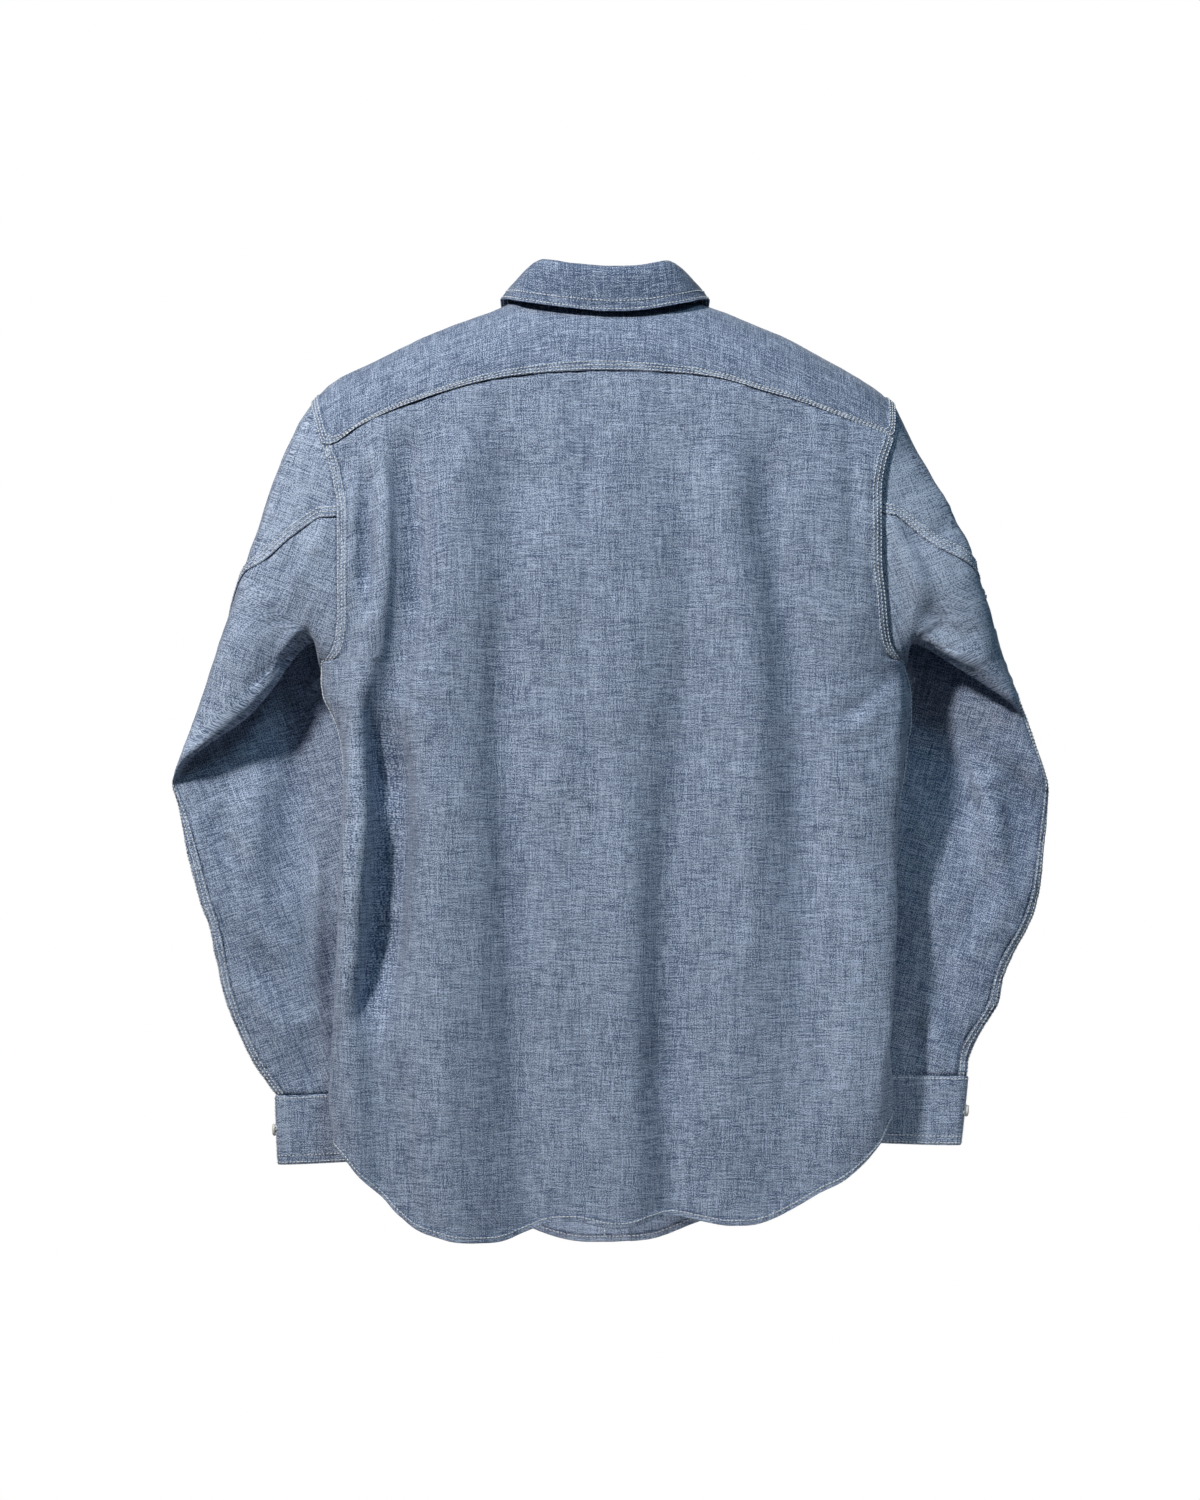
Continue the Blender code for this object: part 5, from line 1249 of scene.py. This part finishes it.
def place_of(cad):
    """Centre, thin axis and points of a round CAD node."""
    points = np.array([tuple(v.co) for v in cad.data.vertices])
    low, high = points.min(axis=0), points.max(axis=0)
    centre = (low + high) / 2
    values, vectors = np.linalg.eigh(np.cov((points - centre).T))
    return centre, vectors[:, 0], points


def set_button(name, cad, shape, outward, spin):
    """A button in the place of its CAD node, and the matrix that places it."""
    centre, axis, _ = place_of(cad)
    axis = axis * (1 if axis @ outward > 0 else -1)
    turn = Vector(axis).to_track_quat("Z", "Y").to_matrix().to_4x4()
    matrix = Matrix.Translation(centre) @ turn @ Matrix.Rotation(spin, 4, "Z")
    mesh = shape.copy()
    mesh.transform(matrix)
    return add_piece(name, mesh), matrix


# ---------------------------------------------------------------- creases

# Creases: the panels, the face (-1 back, 1 front), width, height, then x and z of
# its points. A ridge stands out and a trough goes in (negative height). All in mm.
BODY_CREASES = (
    (-1, (10, 5), 9.0, (-205, -318), (-200, -366), (-197, -421), (-200, -453), (-205, -534), (-212, -584)),
    (-1, (7, 20), -17.0, (-190, -322), (-182, -366), (-175, -421), (-178, -453), (-185, -534), (-199, -588)),
    (-1, (12, 6), 5.6, (-180, -104), (-177, -215), (-182, -280), (-200, -322)),
    (-1, (6, 18), -7.4, (-160, -110), (-155, -215), (-159, -280), (-180, -322)),
    (-1, (9, 4), 5.0, (-202, -138), (-205, -252)),
    (-1, (5, 9), -8.0, (-191, -132), (-195, -256)),
    (-1, (22, 10), 2.4, (-106, -90), (-106, -200), (-110, -360), (-104, -500), (-100, -745)),
    (-1, (10, 24), -3.6, (-80, -90), (-82, -200), (-84, -360), (-78, -500), (-74, -745)),
    (-1, (18, 8), 2.6, (20, -390), (22, -560), (26, -745)),
    (-1, (8, 20), -3.6, (46, -330), (44, -560), (48, -745)),
    (-1, (16, 8), 1.4, (98, -90), (112, -190), (124, -280), (130, -420), (140, -500)),
    (-1, (8, 16), -1.8, (116, -90), (130, -190), (144, -280), (150, -420), (160, -500)),
    (-1, (44, 5), 9.5, (238, -310), (231, -420), (225, -560), (218, -710)),
    (-1, (30, 7), 4.5, (222, -90), (218, -190), (222, -290)),
    (-1, 8, -3.0, (195, -100), (201, -165), (199, -215)),
    (-1, 6, 2.0, (207, -130), (211, -190)),
    (-1, 8, 1.8, (-112, -80), (-120, -170)),
    (-1, 7, 1.6, (-52, -360), (-48, -520), (-44, -700)),
    (-1, 9, -1.8, (-20, -62), (-14, -130), (-22, -220)),
    (-1, 9, -2.0, (76, -520), (82, -620), (76, -738)),
    (-1, 7, -2.4, (172, -560), (182, -640), (170, -712)),
    (-1, 8, 2.0, (186, -520), (196, -610), (186, -690)),
    (-1, 6, -2.0, (-168, -600), (-164, -680), (-156, -742)),
    (-1, 6, 1.8, (-150, -610), (-148, -690), (-142, -745)),
    (-1, 5, -1.6, (-190, -290), (-160, -322), (-120, -338)),
    (-1, 6, -1.8, (232, -306), (206, -330), (170, -344)),
    (-1, 5, 1.5, (228, -322), (206, -345), (180, -360)),
    (1, 9, 3.0, (-150, -120), (-158, -230), (-150, -340), (-160, -470)),
    (1, 8, -3.0, (-128, -130), (-138, -260), (-132, -390)),
    (1, 9, -2.6, (-182, -300), (-174, -420), (-180, -560), (-160, -700)),
    (1, 8, 2.4, (-96, -420), (-104, -560), (-96, -720)),
    (1, 8, -2.4, (-66, -150), (-58, -300), (-64, -450)),
    (1, 9, 2.8, (152, -120), (160, -240), (154, -360), (164, -500)),
    (1, 8, -2.8, (130, -140), (140, -280), (134, -420)),
    (1, 9, -2.4, (184, -300), (180, -430), (186, -560), (168, -690)),
    (1, 8, 2.2, (100, -440), (108, -580), (98, -730)),
    (1, 8, -2.2, (66, -170), (60, -320), (66, -480)),
    (1, 7, -2.0, (-36, -480), (-30, -600), (-26, -740)),
    (1, 7, 1.8, (48, -520), (44, -640), (48, -752)),
    (1, 6, -1.8, (-206, -300), (-176, -330), (-140, -346)),
    (1, 6, -1.8, (214, -306), (186, -334), (150, -350)))

UPPER, FOREARM = (-1.0, 7.6), (14.4, 99.0)      # loops of a sleeve that a crease may cross
SLEEVE_CREASES = {
    -1: ((-1, FOREARM, (14, 46), 6.0, (-262, -360), (-262, -470), (-256, -600)),
         (-1, UPPER, 8, 2.6, (-221, -170), (-243, -212), (-262, -250)),
         (-1, UPPER, 8, -3.0, (-228, -160), (-256, -214), (-274, -272)),
         (-1, UPPER, 9, 2.4, (-262, -150), (-290, -230), (-306, -300)),
         (-1, UPPER, 9, -2.4, (-246, -130), (-272, -190), (-296, -268)),
         (-1, UPPER, 8, -2.8, (-232, -256), (-262, -292), (-300, -330)),
         (-1, UPPER, 7, 2.2, (-240, -276), (-272, -312), (-310, -346)),
         (-1, UPPER, 8, -2.2, (-318, -300), (-330, -345), (-338, -376)),
         (-1, FOREARM, 12, -5.0, (-256, -340), (-262, -400), (-264, -455), (-268, -520)),
         (-1, FOREARM, 11, 4.0, (-290, -372), (-292, -420), (-288, -470)),
         (-1, FOREARM, 8, -3.0, (-322, -402), (-316, -436), (-300, -462)),
         (-1, FOREARM, 8, 3.0, (-236, -430), (-238, -500), (-240, -556)),
         (-1, FOREARM, 8, -3.2, (-216, -500), (-224, -556), (-220, -610)),
         (-1, FOREARM, 9, -3.0, (-292, -520), (-272, -552), (-250, -590)),
         (-1, FOREARM, 8, 2.6, (-300, -550), (-276, -584), (-256, -622)),
         (-1, FOREARM, 7, -2.4, (-246, -600), (-238, -640)),
         (-1, FOREARM, 6, 2.0, (-230, -596), (-226, -642)),
         (-1, FOREARM, 6, -2.0, (-212, -606), (-210, -644)),
         (1, FOREARM, 10, -3.4, (-300, -400), (-280, -470), (-262, -540)),
         (1, FOREARM, 9, 3.0, (-268, -400), (-248, -480), (-236, -560)),
         (1, FOREARM, 8, -2.6, (-290, -510), (-262, -560), (-240, -620)),
         (1, UPPER, 9, -3.0, (-240, -190), (-272, -250), (-300, -320)),
         (1, UPPER, 8, 2.4, (-262, -180), (-292, -250), (-318, -330)),
         (1, UPPER, 8, -2.4, (-240, -262), (-276, -300), (-316, -350))),
    1: ((-1, UPPER, (44, 6), 6.0, (262, -120), (296, -200), (322, -290)),
        (-1, FOREARM, (10, 60), 8.0, (240, -340), (240, -480), (236, -600)),
        (-1, FOREARM, (20, 6), 5.5, (278, -312), (298, -366), (318, -420), (326, -480)),
        (-1, FOREARM, (6, 30), -6.5, (292, -312), (312, -366), (332, -420), (338, -480)),
        (-1, UPPER, 8, 2.4, (226, -168), (246, -214), (262, -254)),
        (-1, UPPER, 8, -2.8, (234, -156), (258, -206), (282, -258)),
        (-1, UPPER, 9, 2.2, (268, -150), (292, -214), (308, -262)),
        (-1, UPPER, 9, -2.4, (248, -238), (276, -262), (304, -282)),
        (-1, UPPER, 7, 2.0, (252, -262), (282, -284), (314, -300)),
        (-1, UPPER, 8, -2.2, (306, -250), (318, -282), (326, -306)),
        (-1, FOREARM, 11, -5.0, (286, -352), (298, -395), (314, -432)),
        (-1, FOREARM, 9, 4.4, (296, -336), (314, -374), (331, -410)),
        (-1, FOREARM, 9, -3.2, (330, -360), (346, -398), (352, -440)),
        (-1, FOREARM, 9, 3.4, (256, -370), (262, -440), (272, -500)),
        (-1, FOREARM, 8, -3.4, (330, -450), (304, -490), (286, -530)),
        (-1, FOREARM, 8, 3.0, (336, -482), (308, -520), (284, -556)),
        (-1, FOREARM, 7, -3.6, (272, -552), (284, -590), (293, -626)),
        (-1, FOREARM, 7, 3.0, (260, -560), (268, -600), (276, -628)),
        (-1, FOREARM, 8, -2.8, (232, -440), (240, -510), (236, -580)),
        (-1, FOREARM, 6, -2.2, (214, -590), (214, -628)),
        (1, FOREARM, 10, -3.4, (318, -400), (296, -470), (270, -540)),
        (1, FOREARM, 9, 3.0, (280, -400), (262, -480), (246, -560)),
        (1, FOREARM, 8, -2.6, (306, -510), (276, -560), (250, -612)),
        (1, UPPER, 9, -3.0, (246, -190), (276, -240), (302, -286)),
        (1, UPPER, 8, 2.4, (268, -176), (296, -236), (314, -284)))}


# ---------------------------------------------------------------- the shirt

def build_cloth():
    """Every panel, sewn and creased, by its node's name."""
    back = back_grid()
    yoke, yoke_angles = yoke_grid()
    left, left_angles = front_grid(-1, yoke)
    right, right_angles = front_grid(1, yoke)
    under_left, top_left = sleeve_grids(-1, back, left, yoke)
    under_right, top_right = sleeve_grids(1, back, right, yoke)
    neck_edge = np.concatenate((left[-1, YOKE_ROWS + 1:, :3][::-1], yoke[0, :, :3], right[-1, YOKE_ROWS + 1:, :3]))
    neck_angles = np.concatenate((left_angles[::-1], yoke_angles, right_angles))
    stand = stand_grid(neck_edge, neck_angles)
    limit = math.radians(LEAF_END)
    between = neck_angles[np.abs(neck_angles) < limit - 0.01]
    leaf_angles = np.concatenate(([-limit], between, [limit]))
    leaf_top = collar_line("top", leaf_angles)
    leaf_top[:, 1] += collar_lap(leaf_top, leaf_angles)
    leaf = leaf_grid(leaf_top, leaf_angles)

    panels = {}
    layout = (
        ("back", back, ("raised", "raised", "hem", "tucked"), True),
        ("yoke", yoke[:, ::-1], ("raised", "raised", "tucked", "raised"), True),
        ("front_left", left[:, ::-1], ("plain", "raised", "hem", "tucked"), True),
        ("front_right", right, ("raised", "plain", "hem", "tucked"), True),
        ("sleeve_left_under", under_left, ("tucked", "tucked", "tucked", "tucked"), False),
        ("sleeve_left_top", top_left, ("raised", "raised", "tucked", "tucked"), False),
        ("sleeve_right_under", under_right[:, ::-1], ("tucked", "tucked", "tucked", "tucked"), False),
        ("sleeve_right_top", top_right[:, ::-1], ("raised", "raised", "tucked", "tucked"), False),
        ("collar_stand", stand, ("folded", "folded", "raised", "plain"), True),
        ("collar_leaf", leaf, ("folded", "folded", "plain", "folded"), True),
        ("cuff_left", cuff_grid(-1)[:, ::-1], ("folded", "folded", "folded", "folded"), True),
        ("cuff_right", cuff_grid(1), ("folded", "folded", "folded", "folded"), True))
    for number, (name, grid, edges, rows) in enumerate(layout, 1):
        step = 3.4 if name.startswith(("sleeve", "cuff", "collar")) else CLOTH_STEP
        panels[name] = Panel(name, grid, edges, step, rows, number)
    front = panels["front_left"]
    strip = left[:, ::-1][:, :PLACKET_COLUMNS + 1, :3]
    across, down = np.gradient(strip, axis=1), np.gradient(strip, axis=0)
    lift = np.cross(across, down)
    strip = strip + lift / np.linalg.norm(lift, axis=2)[..., None] * PLACKET_LIFT
    panels["front_placket"] = Panel("front_placket", with_level(strip, left[:, 0, 3]),
                                    ("folded", "folded", "hem", "tucked"), 3.4, True, 13)

    panels["back"].upright(panels["back"].base.shape[1] // 2)
    front.upright(front.base.shape[1] // 2)
    panels["front_right"].upright(panels["front_right"].base.shape[1] // 2)
    yoke_panel = panels["yoke"]
    yoke_panel.uv = np.stack((-yoke_panel.extra[..., 0], -yoke_panel.extra[..., 1]), axis=-1)
    for name in ("sleeve_left_under", "sleeve_left_top"):
        panels[name].sleeve_weave((-0.36, -0.93), (0.32, -0.95))
    for name in ("sleeve_right_under", "sleeve_right_top"):
        panels[name].sleeve_weave((0.36, -0.93), (-0.27, -0.96))

    for name, panel in panels.items():
        level_of = panel.extra[..., 0]
        for edge in EDGES:
            if name.startswith("front_") and name != "front_placket" and edge == ("last" if "left" in name else "first"):
                above = ease((level_of - 0.99) / 0.02)
                panel.sew(edge, "raised", above)
                panel.sew(edge, "tucked", 1 - above)
            else:
                panel.sew(edge)
    for name in ("back", "front_left", "front_right", "front_placket"):
        panel = panels[name]
        # painted light: the inner faces of the back and fronts are coloured paler
        panel.inside_painted_light = 0.8
        if name != "front_placket":
            panel.steady(-1 if name == "back" else 1)
        panel.rumple({"front_placket": 0.5}.get(name, 1.0))
        for face, width, height, *points in BODY_CREASES:
            panel.crease(face, points, width, height)
    panels["yoke"].rumple(0.7)
    # the yoke is coloured darker all over
    panels["yoke"].wear -= 0.6
    leaf, stand = panels["collar_leaf"], panels["collar_stand"]
    # the collar's leaf is coloured darker all over
    leaf.wear -= 1.3
    for panel, reach in ((leaf, 999), (stand, 18)):
        x, y = panel.base[..., 0] / MM, panel.base[..., 1] / MM
        behind = ease((12 - y) / 30)
        sag = LEAF_SAG * np.exp(-((x - 12) / 42) ** 2) * ease((reach - panel.away["high"] / MM) / reach * 1.4)
        panel.slide[..., 2] -= behind * sag * MM
        if panel is leaf:
            lower = ease(1 - panel.away["high"] / MM / 38) * behind
            panel.slide[..., 1] += lower * LEAF_TUCK * MM
            panel.slide[..., 2] -= lower * LEAF_DROP * MM
    for side, half in ((-1, "left"), (1, "right")):
        for name in ("sleeve_%s_under" % half, "sleeve_%s_top" % half):
            panel = panels[name]
            loop, angle = panel.extra[..., 0], panel.extra[..., 1]
            # painted light on the upper sleeves and painted shade on the forearms, both stronger on the right
            panel.wear += mix(0.4 if side < 0 else 0.9, -0.2 if side < 0 else -0.6, ease((loop - 9) / 3))
            free = 1 - 0.92 * ease((loop - 6.4) / 1.2) * (1 - ease((loop - 13.6) / 1.6))
            panel.rumple(1.0, 2)
            s = panel.uv[..., 1]
            rim = np.exp(-((np.abs(angle) - 8) / 34) ** 2)
            panel.height += 1.1 * MM * noise(s, 0 * s, 19, 9, 4 + side) * rim * ease((loop - 15) / 2)
            for face, (low, high), width, height, *points in SLEEVE_CREASES[side]:
                panel.crease(face, points, width, height, low, high)
            panel.height *= free
    for name, amount in (("collar_stand", 0.25), ("collar_leaf", 0.45), ("cuff_left", 0.45), ("cuff_right", 0.45)):
        panels[name].rumple(amount)
    for name, panel in panels.items():
        if name.startswith("cuff"):
            panel.shape(1.9, 0.9)
        elif name.startswith("collar"):
            panel.shape(1.5, 0.6)
        else:
            panel.shape()
    for name in ("back", "front_left", "front_right"):
        panels[name].bridge(UNDERARM, 18 * MM)
    return panels


def stitch_lines(panels):
    """Rows of stitches by the name of their piece."""
    back, yoke, placket = panels["back"], panels["yoke"], panels["front_placket"]
    left, right = panels["front_left"], panels["front_right"]
    fell, pair = (1.3, 4.6, 7.9), (1.4, 7.6)
    lines = {"stitching_back": [], "stitching_yoke": [], "stitching_fronts": [], "stitching_sleeve_left": [],
             "stitching_sleeve_right": [], "stitching_collar": [], "stitching_cuffs": []}
    for edge in ("first", "last"):
        lines["stitching_back"] += [back.line(edge, d, 1.0, 2.0) for d in fell]
        lines["stitching_back"] += [back.line(edge, d, 0.0, 1.0, ends=4.5) for d in pair]
    for panel, edge in ((left, "last"), (right, "first")):
        lines["stitching_fronts"] += [panel.line(edge, d, 1.0, 2.0) for d in fell]
    for name, panel in (("back", back), ("fronts", left), ("fronts", right)):
        lines["stitching_" + name] += [panel.line("low", HEM_WIDTH - 0.7),
                                       panel.line("low", HEM_WIDTH - 0.7, inside=True)]
    lines["stitching_fronts"] += [right.line("last", 30.0, ends=5.0)]
    lines["stitching_fronts"] += [placket.line(edge, 5.0, ends=1.0) for edge in ("first", "last")]
    lines["stitching_fronts"] += [left.line("first", d, ends=5.0, inside=True) for d in (5.0, 29.0)]
    lines["stitching_yoke"] += [yoke.line("high", d) for d in (1.3, 4.3, 7.4)]
    lines["stitching_yoke"] += [yoke.line(edge, d) for edge in ("first", "last") for d in pair]
    for half, seam, inner in (("left", "first", "last"), ("right", "last", "first")):
        top = panels["sleeve_%s_top" % half]
        rows = [top.line(seam, d) for d in fell] + [top.line(inner, d) for d in pair]
        lines["stitching_sleeve_" + half] += rows
    leaf, stand = panels["collar_leaf"], panels["collar_stand"]
    for d in (2.0, 8.2):
        lines["stitching_collar"] += [leaf.line(edge, d, ends=d, inside=inside)
                                      for edge in ("high", "first", "last") for inside in (False, True)]
    lines["stitching_collar"] += [stand.line("low", 2.0, ends=2.0), stand.line("high", 1.6, ends=2.0),
                                  stand.line("first", 2.0, ends=2.0), stand.line("last", 2.0, ends=2.0)]
    for name in ("cuff_left", "cuff_right"):
        cuff = panels[name]
        lines["stitching_cuffs"] += [cuff.line(edge, 2.0, ends=2.0) for edge in EDGES]
        lines["stitching_cuffs"] += [cuff.line(edge, 7.5, ends=2.0) for edge in ("high", "first", "last")]
    return lines


def buttonhole(panel, centre, upright, length=15.0, width=1.5):
    """A loop of points round a buttonhole on a panel, with directions."""
    index = np.unravel_index(np.argmin(np.linalg.norm(panel.outer - centre, axis=2)), panel.outer.shape[:2])
    up = panel.normal[index]
    way = upright - up * (upright @ up)
    way /= np.linalg.norm(way)
    side = np.cross(up, way)
    turn = np.linspace(0, 2 * math.pi, 41)
    loop = [centre + way * math.copysign(abs(math.cos(a)) ** 0.5, math.cos(a)) * length / 2 * MM
            + side * math.sin(a) * width * MM for a in turn]
    result = []
    for point in loop:
        near = np.unravel_index(np.argmin(np.linalg.norm(panel.outer - point, axis=2)), panel.outer.shape[:2])
        gap = (point - panel.outer[near]) @ panel.normal[near]
        result.append(np.concatenate((point - panel.normal[near] * gap, panel.normal[near])))
    return np.array(result)


def dress():
    chambray, thread, horn = chambray_finish(), thread_finish(), button_finish()
    panels = build_cloth()
    pieces = []
    for name, panel in panels.items():
        piece = panel.build(chambray)
        piece.name = "cloth_" + name
        pieces.append((piece, "chambray"))
        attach(piece, "root")
        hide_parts(name)

    along_tree, across_tree = stitch_tree("stitches_along", False), stitch_tree("stitches_across", True)
    for name, lines in stitch_lines(panels).items():
        pieces.append((stitching(name, lines, along_tree, thread), "chambray"))

    shapes = {radius: button_mesh("button_%d" % (radius * 10), radius * MM, 2.6 * MM, horn) for radius in (5.6, 5.0)}
    holes, bars = [], []
    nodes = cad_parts
    for name in ["button_front_%d" % n for n in range(1, 7)] + ["button_collar", "button_cuff_left", "button_cuff_right"]:
        cad = nodes[name]
        on = panels["front_placket" if "front" in name else "collar_stand" if "collar" in name else name[7:]]
        centre = place_of(cad)[0]
        near = np.unravel_index(np.argmin(np.linalg.norm(on.outer - centre, axis=2)), on.outer.shape[:2])
        outward = centre - on.base[near]
        piece, matrix = set_button(name + "_shown", cad, shapes[5.0 if "cuff" in name else 5.6], outward,
                                   0.35 * len(name))
        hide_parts(name)
        pieces.append((piece, "button"))
        radius = (5.0 if "cuff" in name else 5.6) * MM
        for side in (-1, 1):
            ends = [(side * 0.2 * radius, y * 0.26 * radius, z) for y, z in
                    ((-1, -0.4 * MM), (-0.8, 0.75 * MM), (0, 0.95 * MM), (0.8, 0.75 * MM), (1, -0.4 * MM))]
            up = matrix.to_3x3() @ Vector((0, 0, 1))
            bars.append(np.array([(*(matrix @ Vector(p)), *up) for p in ends]))
        upright = np.array((0, 0, 1.0)) if "front" in name else np.array((1.0, 0, 0)) if "collar" in name else \
            np.cross(on.normal[near], (0, 0, 1.0))
        holes.append(buttonhole(on, on.outer[near] + upright * 0.0, upright))
    pieces.append((stitching("stitching_buttonholes", holes, across_tree, thread, Pitch=0.0006, Length=0.0005,
                             Thread=0.0011, Unevenness=0.15), "chambray"))
    pieces.append((stitching("thread_buttons", bars, along_tree, thread, 0.0, Pitch=0.0005, Length=0.0011,
                             Thread=0.0007, Unevenness=0.05), "chambray"))
    for piece, slot in pieces:
        if not piece.name.startswith("cloth_"):
            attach(piece, "root")


# ---------------------------------------------------------------- the studio

def area_light(name, place, target, size, power, colour=(1, 1, 1), depth=None, spread=180):
    lamp = bpy.data.lights.new(name, "AREA")
    lamp.shape, lamp.size, lamp.energy, lamp.color = "ELLIPSE", size, power, colour
    lamp.size_y = depth or size
    lamp.spread = math.radians(spread)
    holder = bpy.data.objects.new(name, lamp)
    holder.location = place
    holder.rotation_euler = (Vector(target) - Vector(place)).to_track_quat("-Z", "Y").to_euler()
    bpy.context.scene.collection.objects.link(holder)


def studio():
    bm = bmesh.new()
    bmesh.ops.create_circle(bm, cap_ends=True, segments=96, radius=0.75)
    mesh = bpy.data.meshes.new("floor")
    bm.to_mesh(mesh)
    bm.free()
    mesh.transform(Matrix.Translation((0, 0, -1.7)))
    material, tree, shader = new_finish("pale_floor")
    tint = stretched_noise(tree, node(tree, "ShaderNodeTexCoord").outputs["Object"], (6, 6, 6), 3.0)
    ramp = node(tree, "ShaderNodeValToRGB")
    ramp.color_ramp.elements[0].color = (0.80, 0.80, 0.80, 1)
    ramp.color_ramp.elements[1].color = (0.88, 0.88, 0.88, 1)
    tree.links.new(tint, ramp.inputs["Fac"])
    tree.links.new(ramp.outputs["Color"], shader.inputs["Base Color"])
    shader.inputs["Roughness"].default_value = 0.8
    mesh.materials.append(material)
    add_piece("floor", mesh)

    target = (0, 0, -0.37)
    area_light("key", (-1.38, -1.82, 1.46), target, 0.3, KEY)
    area_light("fill", (1.3, -2.4, 2.8), target, 1.2, FILL, (0.54, 0.81, 1.0))
    area_light("far_side", (0.6, 3.0, 0.9), target, 2.0, FAR_SIDE)
    area_light("low_side", (1.5, -1.6, -0.4), (0.27, 0, -0.66), 0.5, LOW_SIDE, spread=16)
    area_light("inside_hem", (-0.03, -0.008, -0.69), (-0.03, 0.006, -0.79), 0.2, INSIDE, depth=0.008)

    world = bpy.data.worlds.new("studio")
    bpy.context.scene.world = world
    world.use_nodes = True
    tree = world.node_tree
    tree.nodes.clear()
    out, choose = tree.nodes.new("ShaderNodeOutputWorld"), tree.nodes.new("ShaderNodeMixShader")
    soft, white = tree.nodes.new("ShaderNodeBackground"), tree.nodes.new("ShaderNodeBackground")
    soft.inputs["Color"].default_value, soft.inputs["Strength"].default_value = (0.58, 0.77, 1.0, 1), AMBIENT
    white.inputs["Color"].default_value, white.inputs["Strength"].default_value = (1, 1, 1, 1), 1.0
    seen = tree.nodes.new("ShaderNodeLightPath")
    tree.links.new(seen.outputs["Is Camera Ray"], choose.inputs["Fac"])
    tree.links.new(soft.outputs[0], choose.inputs[1])
    tree.links.new(white.outputs[0], choose.inputs[2])
    tree.links.new(choose.outputs[0], out.inputs["Surface"])

    view = bpy.data.cameras.new("camera")
    view.lens, view.sensor_width, view.sensor_fit = 100, 36, "AUTO"
    camera = bpy.data.objects.new("camera", view)
    camera.location = CAMERA
    camera.rotation_euler = (math.pi / 2, 0, 0)
    bpy.context.scene.collection.objects.link(camera)
    bpy.context.scene.camera = camera
    bpy.context.scene.view_settings.view_transform = "Standard"
    bpy.context.scene.view_settings.look = "None"


KEY, FILL, FAR_SIDE, LOW_SIDE, INSIDE, AMBIENT = 77.0, 37.0, 50.0, 0.12, 0.1, 0.03
CAMERA = (-0.0041, -3.417, -0.365)

studio()
dress()
